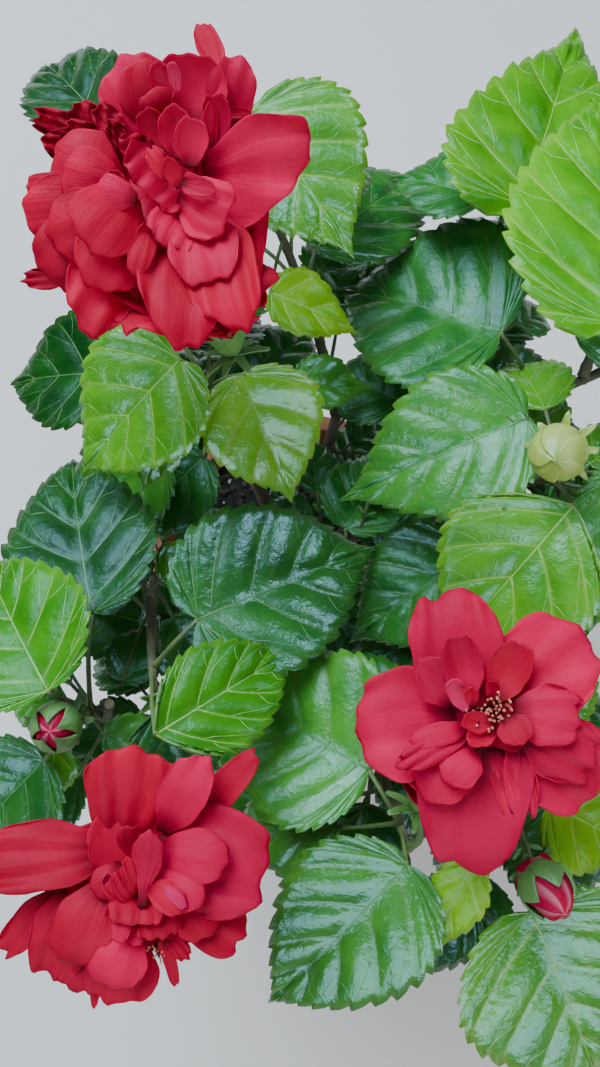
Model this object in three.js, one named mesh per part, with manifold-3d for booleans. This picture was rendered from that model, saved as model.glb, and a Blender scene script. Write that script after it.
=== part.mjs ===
// A compact double red hibiscus shrub in a plain clay pot.
// Millimetres, +Z up, +Y towards the back of the plant. The origin is the middle of the
// pot's flat underside.
import * as THREE from 'three';
import { mergeVertices } from 'three/addons/utils/BufferGeometryUtils.js';
import Module from 'manifold-3d';

const wasm = await Module();
wasm.setup();

// Driving dimensions
const GAP = 0.3;
const POT_HEIGHT = 232;
const POT_RIM_RADIUS = 134;
const POT_FOOT_RADIUS = 90;
const POT_BAND_HEIGHT = 42;
const POT_BAND_STEP = 6;
const POT_WALL = 9;
const POT_FLOOR = 13;
const POT_SIDES = 32;
const POT_EDGE = 3;
const RIM_EDGE = 4;
const DRAIN_RADIUS = 6;
const DRAIN_RING = 52;
const DRAIN_HOLES = 5;
const SOIL_LEVEL = 206;
const SOIL_CROWN = 4;
const SOIL_SHOULDER = [0.66, 0.7];
const TRUNK_HEIGHT = 54;
const TRUNK_STRAIGHT = 26;
const TRUNK_FOOT_RADIUS = 21;
const TRUNK_NECK_RADIUS = 11;
const TRUNK_SIDES = 12;
const TRUNK_STEPS = 8;
const BOUGH_RADII = [6.4, 4.4];
const BOUGH_SIDES = 8;
const BOUGH_STEPS = 5;
const STEM_RADII = [4.2, 2.0];
const STEM_SIDES = 6;
const STEM_STEPS = 5;
const FLOWER_STALK_RADII = [2.1, 1.7];
const PETIOLE_RADII = [1.5, 1.2];
const LEAF_THICKNESS = 0.022;
const LEAF_PITCH = -12;
const LEAF_BEND = -24;
const LEAF_FOLD = 0.16;
const LEAF_STATIONS = 4;
const LEAF_CLEAR = 6;
const WOOD_CLEAR = 2.5;
const PETAL_THICKNESS = 2.2;
const PETAL_STATIONS = 3;
const PETAL_CUP = 0.2;
const BLOOM_CLEAR = 58;
const PETALOIDS = 2;
const BLOOM_REACH = 72;
const BUD_SIDES = 7;
const BUD_SEAT = 2;
const CALYX_LENGTH = 20;
const PETAL_SEAT = 8;
const FINENESS = 0.12;

const DEG = Math.PI / 180;
const { sin, cos, abs, min, max, hypot, round } = Math;
const vec = (p) => new THREE.Vector3(...p);

// The seeded draw: the same numbers on every run.
let seed = 1;
function draw(low, high) {
  seed = (seed * 1664525 + 1013904223) % 4294967296;
  return low + ((high - low) * seed) / 4294967296;
}

// Closed shapes

function solid(geometry) {
  geometry.deleteAttribute('normal');
  geometry.deleteAttribute('uv');
  const merged = mergeVertices(geometry, 1e-4);
  const index = merged.index.array;
  const faces = [];
  for (let i = 0; i < index.length; i += 3) {
    const [a, b, c] = [index[i], index[i + 1], index[i + 2]];
    if (a !== b && b !== c && c !== a) faces.push(a, b, c);
  }
  const build = (triangles) => new wasm.Manifold(new wasm.Mesh({
    numProp: 3,
    vertProperties: new Float32Array(merged.attributes.position.array),
    triVerts: new Uint32Array(triangles),
  }));
  const made = build(faces);
  return made.volume() > 0 ? made : build(faces.reverse());
}

// Rings of points joined one to the next, with both ends closed.
function loft(rings) {
  const count = rings[0].length;
  const positions = rings.flat().flatMap((p) => [p.x, p.y, p.z]);
  const faces = [];
  for (let i = 0; i + 1 < rings.length; i++) {
    for (let k = 0; k < count; k++) {
      const a = i * count + k;
      const b = i * count + ((k + 1) % count);
      faces.push(a, b, b + count, a, b + count, a + count);
    }
  }
  const last = (rings.length - 1) * count;
  for (let k = 1; k + 1 < count; k++) {
    faces.push(0, k + 1, k, last, last + k, last + k + 1);
  }
  const geometry = new THREE.BufferGeometry();
  geometry.setAttribute('position', new THREE.Float32BufferAttribute(positions, 3));
  geometry.setIndex(faces);
  return solid(geometry);
}

// A round shape turned about the Z axis from [radius, height] pairs.
function turned(profile, sides) {
  const points = profile.map(([radius, height]) => new THREE.Vector2(radius, height));
  return solid(new THREE.LatheGeometry(points, sides).rotateX(90 * DEG));
}

function curveOf(points) {
  return new THREE.CatmullRomCurve3(points.map(vec), false, 'catmullrom', 0.5);
}

// A round limb that tapers along a smooth curve. radiusAt takes the share of the way.
function limb(points, radiusAt, sides, steps, grow = 0) {
  const curve = curveOf(points);
  let normal = new THREE.Vector3(1, 0, 0);
  const rings = [];
  for (let i = 0; i <= steps; i++) {
    const share = i / steps;
    const centre = curve.getPoint(share);
    const along = curve.getTangent(share);
    normal = normal.clone().addScaledVector(along, -normal.dot(along)).normalize();
    const across = along.clone().cross(normal);
    const radius = radiusAt(share) + grow;
    if (grow && i === 0) centre.addScaledVector(along, -grow);
    if (grow && i === steps) centre.addScaledVector(along, grow);
    rings.push(Array.from({ length: sides }, (_, k) => {
      const turn = (360 * DEG * k) / sides;
      return centre.clone()
        .addScaledVector(normal, radius * cos(turn))
        .addScaledVector(across, radius * sin(turn));
    }));
  }
  return loft(rings);
}

const tapered = ([thick, thin]) => (share) => thick + (thin - thick) * share;

// Leaves and petals: a thin blade on a midline that bends evenly

function frameOf(origin, heading, pitch, roll = 0) {
  const [h, p, r] = [heading * DEG, pitch * DEG, roll * DEG];
  const x = new THREE.Vector3(cos(h) * cos(p), sin(h) * cos(p), sin(p));
  const side = new THREE.Vector3(-sin(h), cos(h), 0);
  const up = x.clone().cross(side);
  const y = side.clone().multiplyScalar(cos(r)).addScaledVector(up, sin(r));
  const z = up.clone().multiplyScalar(cos(r)).addScaledVector(side, -sin(r));
  return { origin: vec(origin), x, y, z };
}

// u runs from base to tip, v from 1 at the left edge to -1 at the right.
function bladePoint(blade, u, v, raise = 0) {
  const bend = blade.bend * DEG;
  const run = (blade.length * sin(bend * u)) / bend;
  const rise = (blade.length * (1 - cos(bend * u))) / bend;
  const half = (blade.width / 2) * blade.outline(u);
  const lift = blade.lift(half, u, v) + raise;
  return blade.frame.origin.clone()
    .addScaledVector(blade.frame.x, run - lift * sin(bend * u))
    .addScaledVector(blade.frame.z, rise + lift * cos(bend * u))
    .addScaledVector(blade.frame.y, half * v);
}

function bladeRings(blade, stations, across) {
  return Array.from({ length: stations + 1 }, (_, i) => {
    const u = i / stations;
    const upper = [];
    const lower = [];
    for (let k = 0; k <= across; k++) {
      const v = 1 - (2 * k) / across;
      const raise = (blade.thickness / 2) * (1 - v * v);
      upper.push(bladePoint(blade, u, v, raise));
      if (k > 0 && k < across) lower.unshift(bladePoint(blade, u, v, -raise));
    }
    return [...upper, ...lower];
  });
}

// A leaf and its stalk in one skin: the stalk's small rings open out into the blade's.
function leafSolid(leaf) {
  const curve = curveOf(leaf.stalkPath);
  const stalkRings = [0, 0.55, 0.92].map((share) => {
    const centre = curve.getPoint(share);
    const along = curve.getTangent(share);
    const side = leaf.frame.y.clone().addScaledVector(along, -leaf.frame.y.dot(along)).normalize();
    const up = along.clone().cross(side);
    const radius = tapered(PETIOLE_RADII)(share);
    return [side, up, side.clone().negate(), up.clone().negate()]
      .map((way) => centre.clone().addScaledVector(way, radius));
  });
  return loft([...stalkRings, ...bladeRings(leaf, LEAF_STATIONS, 2)]);
}

const leafOutline = (u) => max(0.05, sin(Math.PI * min(1, 0.03 + 0.97 * u) ** 0.6)) ** 0.75;

function leafAt(origin, heading, length, width, pitch = LEAF_PITCH, roll = 0) {
  return {
    frame: frameOf(origin, heading, pitch, roll),
    length,
    width,
    bend: LEAF_BEND,
    thickness: LEAF_THICKNESS * length,
    outline: leafOutline,
    lift: (half, u, v) => LEAF_FOLD * half * abs(v),
  };
}

const petalOutline = (u) => (u < 0.7
  ? 0.26 + 0.74 * sin((u / 0.7) * 90 * DEG) ** 1.3
  : Math.sqrt(1 - ((u - 0.7) / 0.32) ** 2));

// Room: what has been placed already, as leaves and as points on wood and blooms

const placedLeaves = [];
const placedPoints = [];

function samplesOf(leaf) {
  const samples = [];
  for (const u of [0.06, 0.28, 0.5, 0.72, 0.92]) {
    for (const v of [-0.95, -0.5, 0, 0.5, 0.95]) samples.push(bladePoint(leaf, u, v));
  }
  samples.push(bladePoint(leaf, 1, 0));
  return samples;
}

// Whether a point lies closer to a leaf's face than clear.
function nearLeaf(leaf, point, clear) {
  const away = point.clone().sub(leaf.frame.origin);
  const u = away.dot(leaf.frame.x) / leaf.length;
  if (u < -0.06 || u > 1.06) return false;
  const half = (leaf.width / 2) * leafOutline(max(0, u));
  const y = away.dot(leaf.frame.y);
  if (abs(y) > half + clear) return false;
  const bend = leaf.bend * DEG;
  const face = (leaf.length * (1 - cos(bend * u))) / bend + LEAF_FOLD * min(half, abs(y));
  return abs(away.dot(leaf.frame.z) - face) < clear;
}

function leafIsClear(leaf, stalk) {
  const own = samplesOf(leaf);
  for (const other of placedLeaves) {
    if (own.some((p) => nearLeaf(other, p, LEAF_CLEAR))) return false;
    if (other.samples.some((p) => nearLeaf(leaf, p, LEAF_CLEAR))) return false;
    if (other.stalk.some((p) => nearLeaf(leaf, p, WOOD_CLEAR + 2))) return false;
    if (stalk.some((p) => nearLeaf(other, p, WOOD_CLEAR + 2))) return false;
  }
  for (const [point, radius] of placedPoints) {
    if (nearLeaf(leaf, point, radius + WOOD_CLEAR)) return false;
    if (own.some((p) => p.distanceTo(point) < radius + WOOD_CLEAR)) return false;
  }
  return true;
}

function keepPoints(points, radiusAt, steps) {
  const curve = curveOf(points);
  for (let i = 0; i <= steps; i++) {
    placedPoints.push([curve.getPoint(i / steps), radiusAt(i / steps)]);
  }
}

// The plant's plan. A bough runs from the trunk to the foot of its mass of foliage. The
// stems of a mass start there, and a later stem starts on the first one. A leaf is the
// place of its base, its heading in degrees, its length and its width, then its pitch.
const MASSES = {
  back_left: {
    fork: [3, 2, 254],
    bough: [[-24, 30, 290], [-42, 56, 340]],
    stems: [
      [[-52, 62, 410], [-56, 58, 465], [-52, 52, 505]],
      [[-52, 62, 405], [-80, 70, 440], [-98, 72, 468]],
    ],
    leaves: [
      [[-63, 50, 540], -139, 88, 78, -16],
      [[-31, 45, 532], -66, 76, 70, -20],
      [[-112, 68, 480], 175, 80, 76],
      [[-60, 24, 452], -139, 72, 62],
    ],
    bloom: [[-42, 46, 545], [-32, 38, 580]],
  },
  back: {
    fork: [2, 1, 238],
    bough: [[14, 48, 275], [28, 92, 335]],
    stems: [[[18, 108, 400], [8, 118, 450], [-10, 144, 500], [-26, 166, 530]]],
    leaves: [
      [[-110, 196, 530], 124, 110, 68],
      [[-26, 186, 556], -52, 92, 92, -4],
      [[10, 152, 478], 48, 122, 80],
      [[-16, 95, 528], -16, 54, 40],
    ],
  },
  back_right: {
    fork: [3, 2, 246],
    bough: [[46, 36, 290], [82, 70, 345]],
    stems: [[[104, 100, 405], [124, 132, 460], [134, 156, 498]]],
    leaves: [
      [[125, 147, 530], 71, 166, 92, -2],
      [[66, 65, 440], 146, 62, 58],
      [[74, 122, 442], 98, 84, 60],
    ],
  },
  right: {
    fork: [4, 3, 256],
    bough: [[66, 14, 300], [118, 20, 350]],
    stems: [
      [[132, 20, 400], [140, 8, 450], [148, 2, 500]],
      [[130, 20, 388], [156, 66, 426], [196, 86, 440], [208, 78, 490], [186, 62, 545]],
      [[184, 83, 438], [190, 104, 452]],
    ],
    leaves: [
      [[123, 25, 520], -161, 112, 84],
      [[144, -24, 522], -131, 106, 96],
      [[176, -6, 520], -101, 92, 62],
      [[100, -38, 460], -144, 90, 72],
      [[158, 60, 562], 86, 160, 114, 0],
      [[119, 90, 488], 150, 118, 124],
      [[168, 92, 478], 14, 66, 60],
    ],
    buds: [{ foot: [146, 3, 490], tip: [136, 5, 532], radius: 14, length: 40 }],
  },
  front_right: {
    fork: [2, 1, 240],
    bough: [[42, -50, 285], [82, -92, 340]],
    stems: [[[104, -124, 400], [114, -162, 450], [118, -196, 484]]],
    leaves: [
      [[118, -230, 492], -66, 116, 108],
      [[138, -182, 466], -81, 74, 60],
      [[128, -176, 502], -27, 62, 56],
      [[86, -69, 430], -137, 74, 60],
      [[86, -205, 504], -115, 58, 30],
    ],
    buds: [{ foot: [116, -184, 472], tip: [115, -207, 514], radius: 13, length: 34 }],
  },
  front: {
    fork: [3, 2, 248],
    bough: [[18, -60, 300], [34, -112, 350]],
    stems: [[[44, -148, 405], [52, -180, 455], [57, -200, 486]]],
    leaves: [
      [[36, -160, 495], 150, 92, 98],
      [[54, -206, 500], -132, 114, 86],
      [[56, -134, 448], 130, 58, 44],
    ],
    bloom: [[60, -192, 508], [57, -174, 526]],
  },
  front_left: {
    fork: [4, 3, 257],
    bough: [[-40, -58, 300], [-76, -112, 345]],
    stems: [
      [[-84, -140, 400], [-80, -170, 438], [-74, -188, 466]],
      [[-83, -136, 394], [-112, -134, 436], [-121, -128, 480]],
    ],
    leaves: [
      [[-139, -156, 480], -136, 76, 64],
      [[-128, -166, 448], -150, 62, 50],
      [[-112, -78, 500], 106, 116, 86],
      [[-122, -120, 538], 125, 98, 80],
      [[-106, -142, 482], -10, 46, 26],
    ],
    buds: [{ foot: [-121, -130, 478], tip: [-121, -136, 514], radius: 12.5, length: 26 }],
    bloom: [[-70, -197, 480], [-67, -203, 498]],
  },
  left: {
    fork: [2, 1, 236],
    bough: [[-52, -8, 275], [-90, -28, 335]],
    stems: [[[-98, -42, 385], [-92, -64, 430], [-84, -98, 472], [-76, -122, 504]]],
    leaves: [
      [[-54, -82, 505], 26, 120, 94],
      [[-70, -141, 532], 33, 88, 56],
      [[-104, -112, 452], 66, 44, 32],
      [[-102, -74, 418], 165, 80, 62],
    ],
  },
  middle: {
    fork: [5, 3, 258],
    bough: [[12, -4, 300], [20, -16, 340]],
    stems: [[[28, -30, 385], [36, -46, 425]]],
    leaves: [
      [[30, -12, 412], 60, 74, 60],
      [[30, -50, 412], -100, 58, 48],
    ],
  },
};

// Each bloom: its petals as [turn, length, width, opening, bend], where turn runs
// anticlockwise from the right, seen from in front of the bloom.
const BLOOMS = {
  back_left: {
    facing: [-19, 33, 75],
    heart: [29, 86],
    petals: [
      [14, 98, 50, 0, -84],
      [-50, 60, 56, 6, -90],
      [-104, 60, 60, 4, -90],
      [-156, 84, 58, 14, -66],
      [166, 102, 58, 22, -44],
      [118, 110, 56, 16, -26],
      [66, 100, 36, 26, -34],
    ],
  },
  front: {
    facing: [27, 52, 52],
    heart: [22, 68],
    petals: [
      [112, 86, 60, 22, -52],
      [42, 92, 62, 22, -48],
      [-24, 90, 62, 24, -56],
      [-92, 74, 58, 24, -76],
      [-168, 74, 58, 24, -70],
    ],
  },
  front_left: {
    facing: [-3, 5, 67],
    heart: [27, 70],
    petals: [
      [86, 78, 66, 20, -50],
      [6, 82, 62, 20, -54],
      [-40, 70, 54, 22, -60],
      [-104, 76, 66, 20, -60],
      [-154, 86, 56, 24, -50],
      [176, 92, 42, 24, -44],
    ],
  },
};

// The gap in the crown through which the soil shows.
const SOIL_WINDOW = { path: [[-72, 75, 214], [-42, -8, 500]], radius: 15 };

// The seeded leaves: how many tries at a node, how far apart the nodes are, how far the
// headings spread off outward, and the ranges that a leaf's numbers are drawn from.
const FILLER_TRIES = 9;
const FILLER_STEP = 18;
const FILLER_SPREAD = 0.62;
const FILLER_LENGTH = [62, 98];
const FILLER_REACH = [22, 44];
const FILLER_CLIMB = [4, 26];
const FILLER_PITCH = [-34, -10];
const FILLER_ROLL = [-16, 16];
const FILLER_WIDTH = [0.66, 0.84];
const GOLDEN_TURN = 137.5;
// The crown's middle, its reach across, its depth as a share of that, and its lower edge.
const CROWN = { x: 20, y: -20, reach: 205, squeeze: 0.72, foot: 246 };
const STEM_SPREAD_FROM = { x: 10, y: -20 };

// Limbs

const trunkPath = [
  [0, 0, SOIL_LEVEL + SOIL_CROWN + GAP],
  [0, 0, SOIL_LEVEL + TRUNK_STRAIGHT],
  [4, 3, SOIL_LEVEL + TRUNK_HEIGHT],
];
const trunkRadius = (share) => TRUNK_NECK_RADIUS
  + (TRUNK_FOOT_RADIUS - TRUNK_NECK_RADIUS) * (1 - share) ** 3;
const trunkParts = [trunkPath, trunkRadius, TRUNK_SIDES, TRUNK_STEPS];

function biggest(body) {
  const pieces = body.decompose();
  return pieces.reduce((best, piece) => (piece.volume() > best.volume() ? piece : best));
}

const limbs = { trunk: limb(...trunkParts) };
const grown = { trunk: limb(...trunkParts, GAP) };
keepPoints(trunkPath, trunkRadius, 4);
for (const [name, mass] of Object.entries(MASSES)) {
  const path = [mass.fork, ...mass.bough];
  let bough = limb(path, tapered(BOUGH_RADII), BOUGH_SIDES, BOUGH_STEPS);
  for (const other of Object.values(grown)) bough = bough.subtract(other);
  limbs[`bough_${name}`] = biggest(bough);
  grown[name] = limb(path, tapered(BOUGH_RADII), BOUGH_SIDES, BOUGH_STEPS, GAP);
  keepPoints(path, tapered(BOUGH_RADII), 20);
}
keepPoints(SOIL_WINDOW.path, () => SOIL_WINDOW.radius, 20);

// The stems of each mass, the first of which starts just off its bough's tip.
const stemParts = {};
for (const [name, mass] of Object.entries(MASSES)) {
  const path = [mass.fork, ...mass.bough];
  const tip = curveOf(path);
  const start = tip.getPoint(1).addScaledVector(tip.getTangent(1), GAP).toArray();
  stemParts[name] = mass.stems.map((stem, i) => (i ? stem : [start, ...stem]));
  for (const stem of stemParts[name]) keepPoints(stem, tapered(STEM_RADII), 20);
}

// A bloom's stalk goes on from the tip of the first stem of its mass.
const flowerStalks = {};
for (const name of Object.keys(BLOOMS)) {
  const [stem] = stemParts[name];
  flowerStalks[name] = [stem[stem.length - 1], ...MASSES[name].bloom];
  keepPoints(flowerStalks[name], tapered(FLOWER_STALK_RADII), 8);
}

// Leaves: the known ones first, then the seeded ones on each stem in turn

// Where a leaf's stalk leaves the stems: the nearest place that lies below its base.
function nodeFor(stems, base) {
  let best = null;
  for (const stem of stems) {
    const curve = curveOf(stem);
    for (let i = 1; i <= 10; i++) {
      const point = curve.getPoint(i / 12);
      const climb = base.z - point.z;
      const cost = point.distanceTo(base) + 4 * max(0, 12 - climb);
      if (!best || cost < best.cost) best = { point, cost };
    }
  }
  return best.point;
}

function stalkOf(from, leaf) {
  const base = leaf.frame.origin;
  const middle = from.clone().lerp(base, 0.55);
  middle.z += 0.1 * from.distanceTo(base);
  return [from.toArray(), middle.toArray(), base.toArray()];
}

function keepLeaf(name, leaf, stalk) {
  leaf.samples = samplesOf(leaf);
  leaf.stalkPath = stalk;
  const curve = curveOf(stalk);
  leaf.stalk = [0.35, 0.6, 0.85].map((share) => curve.getPoint(share));
  leaf.mass = name;
  placedLeaves.push(leaf);
}

for (const [name, mass] of Object.entries(MASSES)) {
  for (const [base, heading, length, width, pitch] of mass.leaves) {
    const leaf = leafAt(base, heading, length, width, pitch);
    keepLeaf(name, leaf, stalkOf(nodeFor(stemParts[name], vec(base)), leaf));
  }
}

for (const mass of Object.values(MASSES)) {
  for (const { foot, tip, radius, length } of mass.buds ?? []) {
    keepPoints([foot, tip], tapered(FLOWER_STALK_RADII), 6);
    const middle = vec(tip).lerp(vec(foot), -0.5 * length / vec(tip).distanceTo(vec(foot)));
    placedPoints.push([middle, max(radius, length / 2)]);
  }
}

const bloomCentres = Object.entries(BLOOMS).map(([name, bloom]) => {
  const calyx = vec(MASSES[name].bloom[1]);
  return calyx.addScaledVector(vec(bloom.facing).normalize(), BLOOM_REACH);
});
for (const centre of bloomCentres) placedPoints.push([centre, BLOOM_CLEAR]);

function fillStem(name, stem) {
  const curve = curveOf(stem);
  const nodes = max(2, round(curve.getLength() / FILLER_STEP));
  let turn = draw(0, 360);
  for (let n = 0; n < nodes; n++) {
    const node = curve.getPoint((n + 0.3) / nodes);
    const outward = Math.atan2(node.y - STEM_SPREAD_FROM.y, node.x - STEM_SPREAD_FROM.x) / DEG;
    for (let t = 0; t < FILLER_TRIES; t++) {
      turn = (turn + GOLDEN_TURN) % 360;
      const heading = outward + (turn - 180) * FILLER_SPREAD;
      const length = draw(...FILLER_LENGTH);
      const reach = draw(...FILLER_REACH);
      const climb = draw(...FILLER_CLIMB);
      const pitch = draw(...FILLER_PITCH);
      const roll = draw(...FILLER_ROLL);
      const base = [
        node.x + reach * cos(heading * DEG),
        node.y + reach * sin(heading * DEG),
        node.z + climb,
      ];
      const leaf = leafAt(base, heading, length, length * draw(...FILLER_WIDTH), pitch, roll);
      const stalk = stalkOf(node, leaf);
      const curveOfStalk = curveOf(stalk);
      const stalkPoints = [0.35, 0.6, 0.85].map((share) => curveOfStalk.getPoint(share));
      const tip = bladePoint(leaf, 1, 0);
      const out = hypot(tip.x - CROWN.x, (tip.y - CROWN.y) * CROWN.squeeze);
      const inside = out < CROWN.reach && tip.z > CROWN.foot;
      if (inside && leafIsClear(leaf, stalkPoints)) {
        keepLeaf(name, leaf, stalk);
        break;
      }
    }
  }
}

seed = 41;
for (const [name, stems] of Object.entries(stemParts)) {
  for (const stem of stems) fillStem(name, stem);
}

// Buds and blooms

function budSolid({ foot, tip, radius, length }) {
  const [from, to] = [vec(foot), vec(tip)];
  const along = to.clone().sub(from).normalize();
  const middle = from.clone().lerp(to, 0.5);
  const stalk = limb([foot, middle.toArray(), tip], tapered(FLOWER_STALK_RADII), 5, 3);
  const start = to.clone().addScaledVector(along, -BUD_SEAT).toArray();
  const end = to.clone().addScaledVector(along, length).toArray();
  const body = (share) => max(0.8, radius * sin(min(1, 0.12 + 0.86 * share) * Math.PI) ** 0.6);
  return stalk.add(limb([start, end], body, BUD_SIDES, 5));
}

function petalFrame(origin, axis, turn, opening) {
  const right = new THREE.Vector3(1, 0, 0);
  right.addScaledVector(axis, -right.dot(axis)).normalize();
  const back = axis.clone().cross(right);
  const out = right.multiplyScalar(cos(turn * DEG)).addScaledVector(back, sin(turn * DEG));
  const x = axis.clone().multiplyScalar(cos(opening * DEG)).addScaledVector(out, sin(opening * DEG));
  const z = axis.clone().multiplyScalar(sin(opening * DEG)).addScaledVector(out, -cos(opening * DEG));
  return { origin, x, y: z.clone().cross(x), z };
}

function petalSolid(origin, axis, [turn, length, width, opening, bend], across = 4) {
  const blade = {
    frame: petalFrame(origin, axis, turn, opening),
    length,
    width,
    bend,
    thickness: PETAL_THICKNESS,
    outline: petalOutline,
    lift: (half, u, v) => PETAL_CUP * half * v * v,
  };
  return loft(bladeRings(blade, PETAL_STATIONS, across));
}

function bloomSolid(name) {
  const bloom = BLOOMS[name];
  const path = flowerStalks[name];
  const calyx = vec(path[path.length - 1]);
  const axis = vec(bloom.facing).normalize();
  const foot = calyx.clone().addScaledVector(axis, -3);
  const top = calyx.clone().addScaledVector(axis, CALYX_LENGTH);
  const cup = (share) => 3 + 6.5 * sin(min(1, share + 0.18) * 140 * DEG);
  let body = limb(path, tapered(FLOWER_STALK_RADII), 6, 5);
  body = body.add(limb([foot.toArray(), top.toArray()], cup, 8, 4));
  const origin = calyx.clone().addScaledVector(axis, PETAL_SEAT);
  for (const petal of bloom.petals) body = body.add(petalSolid(origin, axis, petal));
  const [heartRadius, heartHeight] = bloom.heart;
  const dome = (share) => 4 + heartRadius * sin(0.9 * 180 * DEG * share ** 1.6) ** 0.8;
  const crest = origin.clone().addScaledVector(axis, heartHeight);
  body = body.add(limb([origin.toArray(), crest.toArray()], dome, 8, 5));
  for (let i = 0; i < PETALOIDS; i++) {
    const petaloid = [30 + i * GOLDEN_TURN, heartHeight + 18, 40, 16, -24];
    body = body.add(petalSolid(origin, axis, petaloid, 2));
  }
  const [stem] = stemParts[name];
  return body.subtract(limb(stem, tapered(STEM_RADII), STEM_SIDES, STEM_STEPS, 2 * GAP));
}

// Each mass: stems, leaves on their stalks, and buds, all one body

function massSolid(name) {
  let body = null;
  for (const stem of stemParts[name]) {
    const made = limb(stem, tapered(STEM_RADII), STEM_SIDES, STEM_STEPS);
    body = body ? body.add(made) : made;
  }
  for (const leaf of placedLeaves.filter((one) => one.mass === name)) {
    body = body.add(leafSolid(leaf));
  }
  for (const bud of MASSES[name].buds ?? []) body = body.add(budSolid(bud));
  return body.subtract(grown[name]);
}

// Pot and soil

function potSolid() {
  const bandFoot = POT_HEIGHT - POT_BAND_HEIGHT;
  const slope = (POT_RIM_RADIUS - POT_BAND_STEP - POT_FOOT_RADIUS) / POT_HEIGHT;
  const outer = (height) => POT_FOOT_RADIUS + slope * height;
  const inner = (height) => outer(height) - POT_WALL;
  let pot = turned([
    [0, 0],
    [outer(0) - POT_EDGE, 0],
    [outer(0), POT_EDGE],
    [outer(bandFoot), bandFoot],
    [POT_RIM_RADIUS - 2, bandFoot + POT_EDGE],
    [POT_RIM_RADIUS, POT_HEIGHT - RIM_EDGE - 1],
    [POT_RIM_RADIUS - RIM_EDGE, POT_HEIGHT],
    [inner(POT_HEIGHT) + POT_EDGE, POT_HEIGHT],
    [inner(POT_HEIGHT), POT_HEIGHT - RIM_EDGE],
    [inner(POT_FLOOR), POT_FLOOR],
    [0, POT_FLOOR],
  ], POT_SIDES);
  for (let k = 0; k < DRAIN_HOLES; k++) {
    const turn = (360 * DEG * k) / DRAIN_HOLES;
    const drill = new THREE.CylinderGeometry(DRAIN_RADIUS, DRAIN_RADIUS, 3 * POT_FLOOR, 10);
    drill.rotateX(90 * DEG);
    drill.translate(DRAIN_RING * cos(turn), DRAIN_RING * sin(turn), POT_FLOOR / 2);
    pot = pot.subtract(solid(drill));
  }
  const soil = turned([
    [0, POT_FLOOR + GAP],
    [inner(POT_FLOOR) - 2 * GAP, POT_FLOOR + GAP],
    [inner(SOIL_LEVEL) - 2 * GAP, SOIL_LEVEL],
    [inner(SOIL_LEVEL) * SOIL_SHOULDER[0], SOIL_LEVEL + SOIL_CROWN * SOIL_SHOULDER[1]],
    [TRUNK_FOOT_RADIUS + POT_EDGE, SOIL_LEVEL + SOIL_CROWN],
    [0, SOIL_LEVEL + SOIL_CROWN],
  ], POT_SIDES);
  return { pot, soil };
}

// The scene graph

const finishes = {
  clay: { color: 0xb4694a, roughness: 0.85 },
  earth: { color: 0x3b2f26, roughness: 1 },
  bark: { color: 0x857567, roughness: 0.8 },
  leaf: { color: 0x3c7f2a, roughness: 0.4 },
  petal: { color: 0xcb1436, roughness: 0.5 },
};

function named(name, body, finish) {
  const made = biggest(body.simplify(FINENESS)).getMesh();
  const geometry = new THREE.BufferGeometry();
  geometry.setAttribute('position', new THREE.BufferAttribute(made.vertProperties, 3));
  geometry.setIndex(new THREE.BufferAttribute(made.triVerts, 1));
  const material = new THREE.MeshStandardMaterial({ ...finishes[finish], metalness: 0 });
  const mesh = new THREE.Mesh(geometry, material);
  mesh.name = name;
  return mesh;
}

const plant = new THREE.Group();
const { pot, soil } = potSolid();
plant.add(named('pot', pot, 'clay'));
plant.add(named('soil', soil, 'earth'));
for (const [name, body] of Object.entries(limbs)) plant.add(named(name, body, 'bark'));
for (const name of Object.keys(MASSES)) {
  plant.add(named(`foliage_${name}`, massSolid(name), 'leaf'));
}
for (const name of Object.keys(BLOOMS)) {
  plant.add(named(`bloom_${name}`, bloomSolid(name), 'petal'));
}

export default plant;
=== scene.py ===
# %% [markdown]
# # A double red hibiscus in a clay pot
# The frame holds the real sizes: a pot, its potting mix, a short trunk, nine boughs, nine masses
# of foliage and three blooms. This lesson dresses that frame. Wood, leaves and petals grow here
# by the same rule as the frame's own solids, only finer, so that they end where the frame says.

# %% Load the frame
import math

import bpy
import numpy as np
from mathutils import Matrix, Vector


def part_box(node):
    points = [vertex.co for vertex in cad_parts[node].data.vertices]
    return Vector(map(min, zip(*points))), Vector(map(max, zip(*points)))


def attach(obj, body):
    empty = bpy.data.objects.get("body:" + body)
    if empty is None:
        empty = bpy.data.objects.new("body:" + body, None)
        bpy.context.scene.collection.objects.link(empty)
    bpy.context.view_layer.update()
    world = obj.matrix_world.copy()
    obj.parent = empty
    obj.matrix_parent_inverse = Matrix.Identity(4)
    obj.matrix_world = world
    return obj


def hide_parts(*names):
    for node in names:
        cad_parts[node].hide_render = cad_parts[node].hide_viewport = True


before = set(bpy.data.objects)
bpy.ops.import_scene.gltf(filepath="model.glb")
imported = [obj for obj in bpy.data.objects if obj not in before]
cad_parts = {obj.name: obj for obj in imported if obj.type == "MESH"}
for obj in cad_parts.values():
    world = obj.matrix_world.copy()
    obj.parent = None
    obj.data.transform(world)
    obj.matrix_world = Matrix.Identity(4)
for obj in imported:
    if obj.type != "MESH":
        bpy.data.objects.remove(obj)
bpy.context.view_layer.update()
MM = 0.001
DEG = math.pi / 180
print("the frame holds", len(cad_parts), "nodes")

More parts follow.
